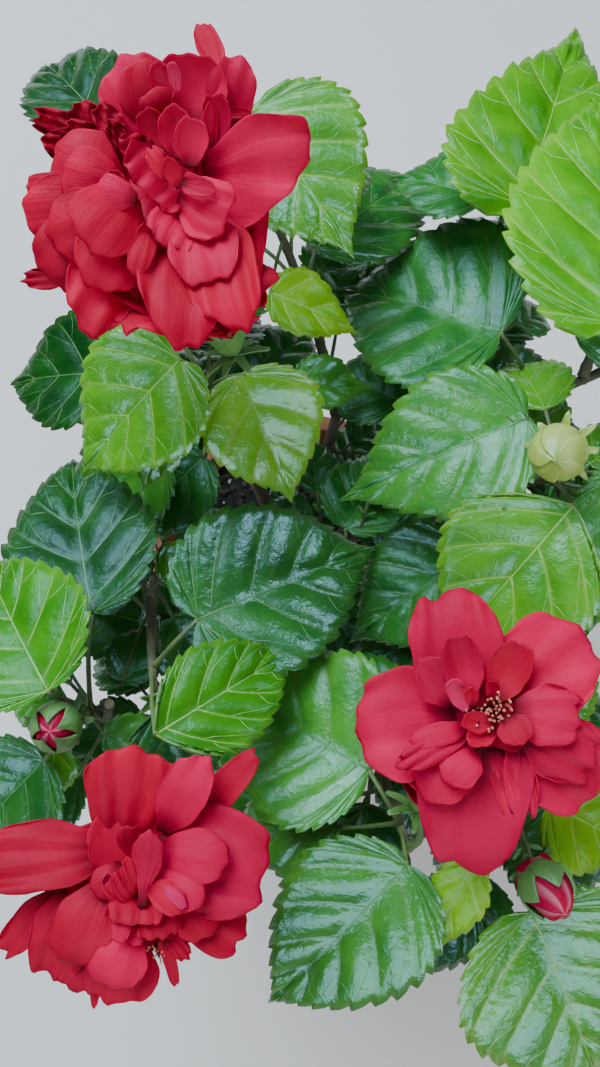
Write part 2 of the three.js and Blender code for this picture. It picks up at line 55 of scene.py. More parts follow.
# %% [markdown]
# ## Camera, floor and light
# The photograph looks down on the plant from just above it, so the camera stands 0.95 m up and
# looks 12 degrees off straight down, through a lens like a phone's. The light comes in layers. A
# broad pale sheet overhead gives the colours, and a weak warm one in front fills the shade. What
# makes a hibiscus leaf look glossy is the blue sky that it mirrors, so four blue sheets are there
# for gloss alone: one behind the plant, one in front for the leaves that lean that way, and two
# small ones at the right. The grey room lights the plant too but isn't mirrored, or it would lay
# a veil on every leaf.

# %% Place the camera
CAMERA_PLACE = (0, -0.130, 0.950)
CAMERA_TILT = 12
PHOTO_LONG_SIDE = 1067
FOCAL_PIXELS = 837.4
SENSOR = 36

camera_data = bpy.data.cameras.new("camera")
camera_data.sensor_width = SENSOR
camera_data.lens = FOCAL_PIXELS / PHOTO_LONG_SIDE * SENSOR
camera_data.clip_start = 0.01
camera = bpy.data.objects.new("camera", camera_data)
camera.location = CAMERA_PLACE
camera.rotation_euler = (CAMERA_TILT * DEG, 0, 0)
bpy.context.scene.collection.objects.link(camera)
bpy.context.scene.camera = camera
print("the lens is", round(camera_data.lens, 2), "mm")

# %% Light the plant and lay the floor


def sheet_light(name, place, target, size, power, colour, gloss=True, diffuse=True):
    data = bpy.data.lights.new(name, "AREA")
    data.shape = "RECTANGLE"
    data.size, data.size_y = size
    data.energy = power
    data.color = colour
    light = bpy.data.objects.new(name, data)
    light.location = place
    aim = np.array(target) - np.array(place)
    spin = math.atan2(aim[1], aim[0])
    lean = math.acos(-aim[2] / np.linalg.norm(aim))
    light.rotation_euler = (0, -lean, spin)
    light.visible_glossy = gloss
    light.visible_diffuse = diffuse
    bpy.context.scene.collection.objects.link(light)


FLOOR_SIDE = 8
CROWN = (0, -0.02, 0.45)
BLUE = (0.38, 0.70, 1.0)
sheet_light("day", (-0.55, 0.80, 1.8), CROWN, (1.3, 0.9), 41, (0.76, 0.88, 1.0), gloss=False)
sheet_light("sky_behind", (-0.55, 0.80, 1.8), CROWN, (1.25, 0.85), 100, BLUE, diffuse=False)
sheet_light("sky_in_front", (-0.15, -1.50, 1.65), CROWN, (1.3, 1.9), 52, BLUE, diffuse=False)
sheet_light("sky_at_right", (0.9, -1.35, 1.2), CROWN, (0.8, 0.8), 12, BLUE, diffuse=False)
sheet_light("sky_back_right", (0.95, 0.60, 1.6), CROWN, (0.6, 0.6), 14, BLUE, diffuse=False)
sheet_light("fill", (0.9, -1.5, 1.3), CROWN, (1.4, 1.0), 13, (1.0, 0.95, 0.88), gloss=False)
world = bpy.data.worlds.new("soft_room")
world.use_nodes = True
world.node_tree.nodes["Background"].inputs["Color"].default_value = (0.86, 0.93, 1.0, 1)
world.node_tree.nodes["Background"].inputs["Strength"].default_value = 0.36
world.cycles_visibility.glossy = False
bpy.context.scene.world = world


def nothing_selected():
    bpy.ops.object.select_all(action="DESELECT")


nothing_selected()
bpy.ops.mesh.primitive_plane_add(size=FLOOR_SIDE)
floor = bpy.context.object
floor.name = "floor"
pale = bpy.data.materials.new("pale_floor")
pale.use_nodes = True
pale.node_tree.nodes["Principled BSDF"].inputs["Base Color"].default_value = (0.96, 0.94, 0.92, 1)
pale.node_tree.nodes["Principled BSDF"].inputs["Roughness"].default_value = 0.9
floor.data.materials.append(pale)
print("floor and", len(bpy.data.lights), "lights are in place")

# %% [markdown]
# ## Finishes
# Every finish is built from nodes that read Object coordinates, so it stays put on the mesh.
# One helper makes them all: two colours that a noise mixes in patches, and a fine bump. Leaves
# get a smooth, mirror-like skin, petals a dull velvet one, and wood and clay stay rough. Four of
# the leaf tones are duller, for the leaves that don't mirror the sky in the photograph.

# %% Make a finish from two mixed colours and a bump


def finish(name, colours, patch, roughness, bump=(), **sockets):
    material = bpy.data.materials.new(name)
    material.use_nodes = True
    tree = material.node_tree
    shader = tree.nodes["Principled BSDF"]
    place = tree.nodes.new("ShaderNodeTexCoord")
    noise = tree.nodes.new("ShaderNodeTexNoise")
    noise.inputs["Scale"].default_value = patch
    noise.inputs["Detail"].default_value = 4
    ramp = tree.nodes.new("ShaderNodeValToRGB")
    ramp.color_ramp.elements[0].position = 0.35
    ramp.color_ramp.elements[1].position = 0.68
    ramp.color_ramp.elements[0].color = (*colours[0], 1)
    ramp.color_ramp.elements[1].color = (*colours[1], 1)
    tree.links.new(place.outputs["Object"], noise.inputs["Vector"])
    tree.links.new(noise.outputs["Fac"], ramp.inputs["Fac"])
    tree.links.new(ramp.outputs["Color"], shader.inputs["Base Color"])
    shader.inputs["Roughness"].default_value = roughness
    for socket, value in sockets.items():
        shader.inputs[socket.replace("_", " ")].default_value = value
    last = None
    for grain, depth in bump:
        relief = tree.nodes.new("ShaderNodeTexNoise")
        relief.inputs["Scale"].default_value = grain
        relief.inputs["Detail"].default_value = 3
        tree.links.new(place.outputs["Object"], relief.inputs["Vector"])
        bumps = tree.nodes.new("ShaderNodeBump")
        bumps.inputs["Distance"].default_value = depth * MM
        tree.links.new(relief.outputs["Fac"], bumps.inputs["Height"])
        if last:
            tree.links.new(last.outputs["Normal"], bumps.inputs["Normal"])
        last = bumps
    if last:
        tree.links.new(last.outputs["Normal"], shader.inputs["Normal"])
    return material


LEAF_TONES = {
    # The shade and deep tones are a darker green for leaves that lie in shade: painted shade.
    "shade": [(0.006, 0.055, 0.008), (0.015, 0.105, 0.011)],
    "deep": [(0.006, 0.055, 0.008), (0.015, 0.105, 0.011)],
    "dark": [(0.015, 0.122, 0.016), (0.034, 0.210, 0.022)],
    "mid": [(0.040, 0.250, 0.021), (0.080, 0.365, 0.027)],
    "bright": [(0.056, 0.295, 0.005), (0.112, 0.420, 0.009)],
    "plain": [(0.028, 0.200, 0.006), (0.060, 0.310, 0.010)],
    "soft": [(0.056, 0.295, 0.005), (0.112, 0.420, 0.009)],
    "lime": [(0.155, 0.450, 0.005), (0.260, 0.570, 0.009)],
    # A much lighter green for a leaf that the bloom above shades: painted light.
    "fresh": [(0.190, 0.620, 0.008), (0.300, 0.740, 0.012)],
}
DULL_TONES = ("shade", "plain", "soft", "lime")
DULL_GLOSS = 0.14
FULL_GLOSS = 0.75
leaf_finish = {
    tone: finish(f"leaf_{tone}", colours, 45, 0.25, [(110, 0.9), (300, 0.35), (900, 0.15)],
                 Specular_IOR_Level=DULL_GLOSS if tone in DULL_TONES else FULL_GLOSS)
    for tone, colours in LEAF_TONES.items()
}
UNDER_TONES = {
    "shade": [(0.040, 0.120, 0.025), (0.055, 0.150, 0.032)],
    "deep": [(0.040, 0.120, 0.025), (0.055, 0.150, 0.032)],
    "dark": [(0.050, 0.150, 0.030), (0.070, 0.190, 0.040)],
    "mid": [(0.080, 0.230, 0.040), (0.110, 0.280, 0.050)],
    "bright": [(0.130, 0.360, 0.040), (0.180, 0.440, 0.050)],
    "plain": [(0.100, 0.300, 0.040), (0.150, 0.380, 0.050)],
    "soft": [(0.130, 0.360, 0.040), (0.180, 0.440, 0.050)],
    "lime": [(0.240, 0.500, 0.040), (0.320, 0.580, 0.050)],
    "fresh": [(0.240, 0.500, 0.040), (0.320, 0.580, 0.050)],
}
under_finish = {
    tone: finish(f"underside_{tone}", colours, 60, 0.55, [(400, 0.3)])
    for tone, colours in UNDER_TONES.items()
}
vein_finish = {
    "deep": finish("vein_deep", [(0.085, 0.240, 0.040), (0.120, 0.300, 0.050)], 80, 0.4),
    "pale": finish("vein_pale", [(0.240, 0.480, 0.070), (0.320, 0.560, 0.090)], 80, 0.4),
}
PETAL_SKIN = {"Specular_IOR_Level": 0.06}
petal_finish = {
    "crimson": finish("petal_crimson", [(0.46, 0.0003, 0.026), (0.62, 0.0006, 0.042)], 40, 0.55,
                      [(500, 0.2)], **PETAL_SKIN),
    "rose": finish("petal_rose", [(0.56, 0.0004, 0.045), (0.73, 0.0010, 0.070)], 40, 0.55,
                   [(500, 0.2)], **PETAL_SKIN),
    # Pale pink: the real colour of one small standing petal, and painted highlight on the small petals
    # laid where light catches a bloom.
    "pale": finish("petal_pale", [(0.66, 0.008, 0.085), (0.78, 0.035, 0.15)], 60, 0.5, [(500, 0.2)],
                   **PETAL_SKIN),
    "withered": finish("petal_withered", [(0.27, 0.0004, 0.014), (0.50, 0.0010, 0.030)], 150, 0.6,
                       [(500, 0.4)], **PETAL_SKIN),
    "rose_back": finish("petal_back", [(0.52, 0.006, 0.060), (0.64, 0.02, 0.10)], 50, 0.55,
                        [(500, 0.2)], **PETAL_SKIN),
}
green_finish = {
    "calyx": finish("calyx_green", [(0.10, 0.26, 0.05), (0.17, 0.36, 0.07)], 90, 0.5, [(700, 0.3)]),
    "bud": finish("bud_pale", [(0.34, 0.50, 0.06), (0.50, 0.62, 0.13)], 70, 0.45, [(700, 0.25)]),
    "stalk": finish("stalk_green", [(0.10, 0.16, 0.035), (0.17, 0.25, 0.055)], 50, 0.5, [(600, 0.3)]),
}
wood_finish = {
    "bark": finish("bark", [(0.17, 0.13, 0.105), (0.30, 0.25, 0.21)], 70, 0.85,
                   [(140, 1.2), (600, 0.7)]),
    "young": finish("young_bark", [(0.085, 0.085, 0.030), (0.17, 0.15, 0.075)], 60, 0.7,
                    [(200, 0.6), (900, 0.4)]),
    "cut": finish("cut_wood", [(0.52, 0.42, 0.27), (0.66, 0.56, 0.40)], 300, 0.8, [(900, 0.4)]),
}
print("made", len(bpy.data.materials), "finishes")

# %% [markdown]
# Leaves and petals carry three numbers at every point, called marks. On a leaf they tell how far
# the point is from a vein, how far from the midrib, and which leaf it is. On a petal they tell
# how far along and how far across it is, and which petal. So the finish can pale the veins,
# darken the throat as painted shade where the petals close in, draw fine streaks along the petal,
# and give each one its own brightness.

# %% Colour leaves and petals by their marks
STREAKS = (1.6, 9, 60)
PAINTED_THROAT_SHADE = (0.10, 0.0005, 0.004)
YOUNG_TONES = ("bright", "plain", "soft", "lime", "fresh")


def all_marks(tree):
    stored = tree.nodes.new("ShaderNodeAttribute")
    stored.attribute_name = "marks"
    return stored.outputs["Vector"]


def one_mark(tree, component):
    split = tree.nodes.new("ShaderNodeSeparateXYZ")
    tree.links.new(all_marks(tree), split.inputs["Vector"])
    return split.outputs[component]


def mix_colour(material, source, low, high, share_low, share_high, colour):
    """Mix a colour in by a source: share_low of it where the source is low, share_high at high."""
    tree = material.node_tree
    shader = tree.nodes["Principled BSDF"]
    spread = tree.nodes.new("ShaderNodeMapRange")
    spread.inputs["From Min"].default_value = low
    spread.inputs["From Max"].default_value = high
    spread.inputs["To Min"].default_value = share_low
    spread.inputs["To Max"].default_value = share_high
    mix = tree.nodes.new("ShaderNodeMix")
    mix.data_type = "RGBA"
    mix.inputs["B"].default_value = (*colour, 1)
    before = shader.inputs["Base Color"].links[0].from_socket
    tree.links.new(source, spread.inputs["Value"])
    tree.links.new(spread.outputs["Result"], mix.inputs["Factor"])
    tree.links.new(before, mix.inputs["A"])
    tree.links.new(mix.outputs["Result"], shader.inputs["Base Color"])


def shade_by_mark(material, component, low, high, colour, amount):
    """Mix a colour in where one of the marks runs from high down to low."""
    mark = one_mark(material.node_tree, component)
    mix_colour(material, mark, low, high, amount, 0, colour)


def vary_by_mark(material, amount):
    """Make each leaf or petal a little lighter or darker than the next."""
    tree = material.node_tree
    shader = tree.nodes["Principled BSDF"]
    spread = tree.nodes.new("ShaderNodeMapRange")
    spread.inputs["To Min"].default_value = 1 - amount
    spread.inputs["To Max"].default_value = 1 + amount
    value = tree.nodes.new("ShaderNodeHueSaturation")
    before = shader.inputs["Base Color"].links[0].from_socket
    tree.links.new(one_mark(tree, "Z"), spread.inputs["Value"])
    tree.links.new(spread.outputs["Result"], value.inputs["Value"])
    tree.links.new(before, value.inputs["Color"])
    tree.links.new(value.outputs["Color"], shader.inputs["Base Color"])


def streak_by_mark(material, depth):
    """Raise fine streaks that run from a petal's foot to its edge."""
    tree = material.node_tree
    shader = tree.nodes["Principled BSDF"]
    stretch = tree.nodes.new("ShaderNodeVectorMath")
    stretch.operation = "MULTIPLY"
    stretch.inputs[1].default_value = STREAKS
    noise = tree.nodes.new("ShaderNodeTexNoise")
    noise.inputs["Scale"].default_value = 1
    noise.inputs["Detail"].default_value = 3
    bumps = tree.nodes.new("ShaderNodeBump")
    bumps.inputs["Distance"].default_value = depth * MM
    under = shader.inputs["Normal"].links[0].from_socket
    tree.links.new(all_marks(tree), stretch.inputs[0])
    tree.links.new(stretch.outputs["Vector"], noise.inputs["Vector"])
    tree.links.new(noise.outputs["Fac"], bumps.inputs["Height"])
    tree.links.new(under, bumps.inputs["Normal"])
    tree.links.new(bumps.outputs["Normal"], shader.inputs["Normal"])


VEIN_TINTS = {"shade": (0.028, 0.105, 0.014), "deep": (0.028, 0.105, 0.014),
              "dark": (0.045, 0.160, 0.020), "mid": (0.100, 0.290, 0.030),
              "bright": (0.23, 0.50, 0.04), "plain": (0.13, 0.38, 0.03), "soft": (0.23, 0.50, 0.04),
              "lime": (0.36, 0.62, 0.06), "fresh": (0.40, 0.72, 0.07)}
for tone, material in leaf_finish.items():
    shade_by_mark(material, "X", 0, 0.34, VEIN_TINTS[tone], 0.6)
    vary_by_mark(material, 0.22)
# Painted shade: every petal but the pale and withered ones darkens towards its foot, the throat, where
# the petals close in.
for tone, material in petal_finish.items():
    if tone not in ("pale", "withered"):
        shade_by_mark(material, "X", 0.04, 0.34, PAINTED_THROAT_SHADE, 0.9)
    vary_by_mark(material, 0.14)
    streak_by_mark(material, 0.28)
print("marked", len(leaf_finish) + len(petal_finish), "finishes")

# %% [markdown]
# ## Small tools
# Hundreds of leaves and petals are too many to model one by one. Each is worked out as rows of
# points, and all of one kind go into one mesh. What is one of a kind, such as the pot, is
# modelled with Blender's own operators instead.

# %% Put a finished piece in its place in the frame


def only(piece):
    nothing_selected()
    piece.select_set(True)
    bpy.context.view_layer.objects.active = piece


def apply_modifier(piece, kind, **settings):
    only(piece)
    modifier = piece.modifiers.new(kind.lower(), kind)
    for setting, value in settings.items():
        setattr(modifier, setting, value)
    bpy.ops.object.modifier_apply(modifier=modifier.name)


def settle(piece, nodes=()):
    only(piece)
    bpy.ops.object.transform_apply(location=True, rotation=True, scale=True)
    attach(piece, "root")
    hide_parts(*nodes)
    piece.data.calc_loop_triangles()
    print(piece.name, "has", len(piece.data.loop_triangles), "triangles")


def piece_from(name, parts, materials, weld=0.02):
    """One mesh from (points in mm, faces, marks) parts; marks are three numbers for the finish."""
    points, faces, marks, count = [], [], [], 0
    for own_points, own_faces, *own_marks in parts:
        points.append(own_points)
        faces.extend([[corner + count for corner in face] for face in own_faces])
        marks += own_marks
        count += len(own_points)
    mesh = bpy.data.meshes.new(name)
    mesh.from_pydata((np.concatenate(points) * MM).tolist(), [], faces)
    if marks:
        stored = mesh.attributes.new("marks", "FLOAT_VECTOR", "POINT")
        stored.data.foreach_set("vector", np.concatenate(marks).ravel())
    for material in materials:
        mesh.materials.append(material)
    piece = bpy.data.objects.new(name, mesh)
    bpy.context.scene.collection.objects.link(piece)
    only(piece)
    if weld:
        bpy.ops.object.mode_set(mode="EDIT")
        bpy.ops.mesh.select_all(action="SELECT")
        bpy.ops.mesh.remove_doubles(threshold=weld * MM)
        bpy.ops.object.mode_set(mode="OBJECT")
    bpy.ops.object.shade_smooth()
    return piece


# %% Curves, tubes and round shapes as rows of points


def curve_at(points, share):
    """A smooth curve through the points, as the frame's own limbs follow."""
    points = np.asarray(points, float)
    last = len(points) - 1
    place = np.atleast_1d(share) * last
    left = np.minimum(np.floor(place).astype(int), last - 1)
    w = (place - left)[:, None]
    before = np.where((left > 0)[:, None], points[left - 1], 2 * points[0] - points[1])
    ahead = np.minimum(left + 2, last)
    after = np.where((left + 2 <= last)[:, None], points[ahead], 2 * points[last] - points[last - 1])
    p1, p2 = points[left], points[left + 1]
    t1, t2 = 0.5 * (p2 - before), 0.5 * (after - p1)
    return (p1 + t1 * w + (3 * (p2 - p1) - 2 * t1 - t2) * w ** 2
            + (2 * (p1 - p2) + t1 + t2) * w ** 3)


def unit(v):
    v = np.asarray(v, float)
    return v / np.maximum(np.linalg.norm(v, axis=-1, keepdims=True), 1e-12)


def tangent_at(points, share):
    share = np.atleast_1d(share)
    ahead = curve_at(points, np.minimum(share + 1e-4, 1))
    behind = curve_at(points, np.maximum(share - 1e-4, 0))
    return unit(ahead - behind)


def path_length(points):
    return np.linalg.norm(np.diff(curve_at(points, np.linspace(0, 1, 201)), axis=0), axis=1).sum()


def grid_faces(rows, columns, round_about=False, flip=False):
    faces = []
    for i in range(rows - 1):
        for k in range(columns if round_about else columns - 1):
            a, b = i * columns + k, i * columns + (k + 1) % columns
            face = (a, b, b + columns, a + columns)
            faces.append(face[::-1] if flip else face)
    return faces


def tube(centres, radii, sides=8):
    """A closed tube along the centres, with each ring's own radius."""
    centres = np.asarray(centres, float)
    along = unit(np.gradient(centres, axis=0))
    normal = unit(np.cross(along[0], [0.31, -0.87, 0.4]))
    turn = 2 * math.pi * np.arange(sides) / sides
    rings = []
    for centre, way, radius in zip(centres, along, radii):
        normal = unit(normal - way * (normal @ way))
        across = np.cross(way, normal)
        rings.append(centre + radius * (np.outer(np.cos(turn), normal) + np.outer(np.sin(turn), across)))
    faces = grid_faces(len(centres), sides, round_about=True)
    last = (len(centres) - 1) * sides
    faces.append(tuple(range(sides))[::-1])
    faces.append(tuple(last + k for k in range(sides)))
    return np.concatenate(rings), faces


print("a curve through three points, halfway:", curve_at([[0, 0, 0], [1, 0, 0], [2, 1, 0]], 0.5)[0])

# %% [markdown]
# ## The pot
# The leaves hide the pot, so this is a plain clay one of the frame's size. A real one is thrown
# on a wheel. Here a disc is drawn upwards ring by ring with extrude and resize, over the rim and
# down the inside to the floor, which leaves one closed wall. Bevels soften its edges, and a
# boolean cuts the drain holes.

# %% Raise the pot's wall ring by ring
pot_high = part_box("pot")[1]
POT_TOP = pot_high.z / MM
RIM = pot_high.x / MM
FOOT = 90
BAND = 42
BAND_STEP = 6
WALL = 9
POT_FLOOR = 13
SOIL_LEVEL = 206
GAP = 0.3


def wall_radius(height):
    return FOOT + (RIM - BAND_STEP - FOOT) / POT_TOP * height


band_foot = POT_TOP - BAND
pot_rings = [
    (FOOT, 0),
    (wall_radius(0.55 * band_foot), 0.55 * band_foot),
    (wall_radius(band_foot - 4), band_foot - 4),
    (wall_radius(band_foot), band_foot),
    (RIM - 1.5, band_foot + 1),
    (RIM, POT_TOP - 6),
    (RIM - 1, POT_TOP),
    (wall_radius(POT_TOP) - WALL + 1, POT_TOP),
    (wall_radius(POT_TOP - 5) - WALL, POT_TOP - 5),
    (wall_radius(POT_FLOOR) - WALL, POT_FLOOR),
]
nothing_selected()
bpy.ops.mesh.primitive_circle_add(vertices=128, radius=FOOT * MM, fill_type="NGON")
pot = bpy.context.object
pot.name = "clay_pot"
bpy.ops.object.mode_set(mode="EDIT")
for (radius, height), (last_radius, last_height) in zip(pot_rings[1:], pot_rings):
    rise = (height - last_height) * MM
    bpy.ops.mesh.extrude_region_move(TRANSFORM_OT_translate={"value": (0, 0, rise)})
    scale = radius / last_radius
    bpy.ops.transform.resize(value=(scale, scale, 1), center_override=(0, 0, height * MM))
bpy.ops.mesh.select_all(action="SELECT")
bpy.ops.mesh.normals_make_consistent(inside=False)
bpy.ops.object.mode_set(mode="OBJECT")
print("the wall has", len(pot_rings), "rings")

# %% Soften the edges and cut the drain holes
DRAIN_HOLES = 5
DRAIN_CIRCLE = 52
DRAIN_RADIUS = 6
apply_modifier(pot, "BEVEL", width=1.6 * MM, segments=3, limit_method="ANGLE", angle_limit=25 * DEG)
for k in range(DRAIN_HOLES):
    turn = 2 * math.pi * k / DRAIN_HOLES
    spot = (DRAIN_CIRCLE * MM * math.cos(turn), DRAIN_CIRCLE * MM * math.sin(turn), POT_FLOOR / 2 * MM)
    nothing_selected()
    bpy.ops.mesh.primitive_cylinder_add(vertices=24, radius=DRAIN_RADIUS * MM,
                                        depth=3 * POT_FLOOR * MM, location=spot)
    drill = bpy.context.object
    apply_modifier(pot, "BOOLEAN", object=drill, operation="DIFFERENCE", solver="EXACT")
    bpy.data.objects.remove(drill)
only(pot)
bpy.ops.object.shade_smooth_by_angle(angle=32 * DEG)

# %% [markdown]
# Fired clay is never one colour: it is paler where lime has dried on it, darker where it is
# damp, and the wheel leaves faint rings. The rings are a wave texture that runs up the pot's
# height, very shallow, under a coarse and a fine grain.

# %% Finish the clay


def clay_finish():
    material = finish("fired_clay", [(0.36, 0.115, 0.050), (0.52, 0.20, 0.105)], 14, 0.85,
                      [(90, 0.6), (700, 0.5)])
    tree = material.node_tree
    shader = tree.nodes["Principled BSDF"]
    place = next(n for n in tree.nodes if n.type == "TEX_COORD")
    rings = tree.nodes.new("ShaderNodeTexWave")
    rings.bands_direction = "Z"
    rings.inputs["Scale"].default_value = 32
    rings.inputs["Distortion"].default_value = 1.5
    groove = tree.nodes.new("ShaderNodeBump")
    groove.inputs["Distance"].default_value = 0.5 * MM
    groove.inputs["Strength"].default_value = 0.35
    under = shader.inputs["Normal"].links[0].from_socket
    tree.links.new(place.outputs["Object"], rings.inputs["Vector"])
    tree.links.new(rings.outputs["Fac"], groove.inputs["Height"])
    tree.links.new(under, groove.inputs["Normal"])
    tree.links.new(groove.outputs["Normal"], shader.inputs["Normal"])
    lime = tree.nodes.new("ShaderNodeTexNoise")
    lime.inputs["Scale"].default_value = 22
    lime.inputs["Detail"].default_value = 8
    lime.inputs["Roughness"].default_value = 0.7
    tree.links.new(place.outputs["Object"], lime.inputs["Vector"])
    mix_colour(material, lime.outputs["Fac"], 0.54, 0.74, 0, 0.55, (0.62, 0.50, 0.42))
    return material


pot.data.materials.append(clay_finish())
settle(pot, ["pot"])

# %% [markdown]
# ## The potting mix
# Potting mix is peat and bark crumbs with white perlite. Its top is a disc that is cut finely
# and pushed up and down by two cloud textures. A few hundred crumbs and beads of perlite, three
# shapes of each, are turned and scaled by a seeded draw and lie on it as pieces of their own.

# %% Raise an uneven bed of mix
look = np.random.default_rng(20)
soil_radius = wall_radius(SOIL_LEVEL) - WALL - 2 * GAP
nothing_selected()
bpy.ops.mesh.primitive_circle_add(vertices=48, radius=soil_radius * MM, fill_type="TRIFAN",
                                  location=(0, 0, (SOIL_LEVEL + 1.5) * MM))
soil = bpy.context.object
soil.name = "potting_mix"
bpy.ops.object.mode_set(mode="EDIT")
bpy.ops.mesh.subdivide(number_cuts=15)
bpy.ops.object.mode_set(mode="OBJECT")
for grain, strength in ((40, 7), (9, 4)):
    clouds = bpy.data.textures.new(f"clouds_{grain}", "CLOUDS")
    clouds.noise_scale = grain * MM
    apply_modifier(soil, "DISPLACE", texture=clouds, texture_coords="LOCAL", strength=strength * MM,
                   mid_level=0.45)
bpy.ops.object.mode_set(mode="EDIT")
bpy.ops.mesh.select_all(action="SELECT")
bpy.ops.mesh.region_to_loop()
soil_depth = SOIL_LEVEL - POT_FLOOR - 3
bpy.ops.mesh.extrude_region_move(TRANSFORM_OT_translate={"value": (0, 0, -soil_depth * MM)})
foot_scale = (wall_radius(POT_FLOOR) - WALL - 2) / soil_radius
bpy.ops.transform.resize(value=(foot_scale, foot_scale, 0), center_override=(0, 0, (POT_FLOOR + 2) * MM))
bpy.ops.mesh.edge_face_add()
bpy.ops.mesh.select_all(action="SELECT")
bpy.ops.mesh.normals_make_consistent(inside=False)
bpy.ops.object.mode_set(mode="OBJECT")
soil.data.materials.append(finish("peat", [(0.018, 0.011, 0.007), (0.060, 0.036, 0.022)], 120, 0.95,
                                  [(400, 1.2), (1500, 0.6)]))
bpy.ops.object.shade_smooth_by_angle(angle=40 * DEG)
settle(soil, ["soil"])

# %% Scatter crumbs and perlite over it
CRUMB_LEVEL = SOIL_LEVEL + 2.6
CRUMB_MARGIN = 5
TRUNK_ROOM = 24


def lump():
    nothing_selected()
    bpy.ops.mesh.primitive_ico_sphere_add(subdivisions=1, radius=1)
    made = bpy.context.object
    points = np.array([v.co for v in made.data.vertices]) * look.uniform(0.75, 1.2, (12, 1))
    faces = [tuple(p.vertices) for p in made.data.polygons]
    bpy.data.objects.remove(made)
    return points, faces


def scattered(count, low, high, flat):
    parts = []
    shapes = [lump() for _ in range(3)]
    while len(parts) < count:
        x, y = look.uniform(-1, 1, 2) * (soil_radius - CRUMB_MARGIN)
        if not TRUNK_ROOM < math.hypot(x, y) < soil_radius - CRUMB_MARGIN:
            continue
        points, faces = shapes[len(parts) % 3]
        size = look.uniform(low, high)
        stretch = size * np.array([look.uniform(0.8, 1.6), 1, flat * look.uniform(0.6, 1.1)])
        a, b = look.uniform(0, 2 * math.pi), look.uniform(-0.5, 0.5)
        turn = np.array([[math.cos(a), -math.sin(a), 0], [math.sin(a), math.cos(a), 0], [0, 0, 1]])
        lean = np.array([[1, 0, 0], [0, math.cos(b), -math.sin(b)], [0, math.sin(b), math.cos(b)]])
        spot = [x, y, CRUMB_LEVEL + 0.2 * size]
        parts.append(((points * stretch) @ lean.T @ turn.T + spot, faces))
    return parts


crumb_finish = finish("crumb", [(0.045, 0.026, 0.015), (0.13, 0.075, 0.040)], 90, 0.9, [(600, 0.8)])
settle(piece_from("bark_crumbs", scattered(520, 1.6, 5.0, 0.5), [crumb_finish]))
perlite_finish = finish("perlite", [(0.62, 0.60, 0.56), (0.80, 0.78, 0.74)], 400, 0.9, [(900, 0.5)])
settle(piece_from("perlite", scattered(150, 0.9, 2.1, 0.9), [perlite_finish]))

# %% [markdown]
# ## The plant's plan
# This is the plan that the frame's solids were built from, in millimetres. A bough runs from its
# fork on the trunk to the foot of its mass of foliage, and the stems of that mass go on from
# there. Each leaf that the photograph shows is listed as the place of its base, its heading,
# length, width and tone. Its pitch follows where that isn't the usual one, and then how
# wedge-shaped its foot is, from 0 to 1, or, below 0, how heart-shaped.

# %% Write the plan down
LEAF_PITCH = -12
LEAF_BEND = -24
LEAF_FOLD = 0.16
LEAF_CLEAR = 6
WOOD_CLEAR = 2.5
BLOOM_CLEAR = 58
BLOOM_REACH = 72
SOIL_CROWN = 4
TRUNK_HEIGHT = 54
TRUNK_RADII = (21, 11)
BOUGH_RADII = (6.4, 4.4)
STEM_RADII = (4.2, 2.0)
FLOWER_STALK_RADII = (2.1, 1.7)
PETIOLE_RADII = (1.5, 1.2)
SOIL_WINDOW = [[-72, 75, 214], [-42, -8, 500]]
SOIL_WINDOW_RADIUS = 15

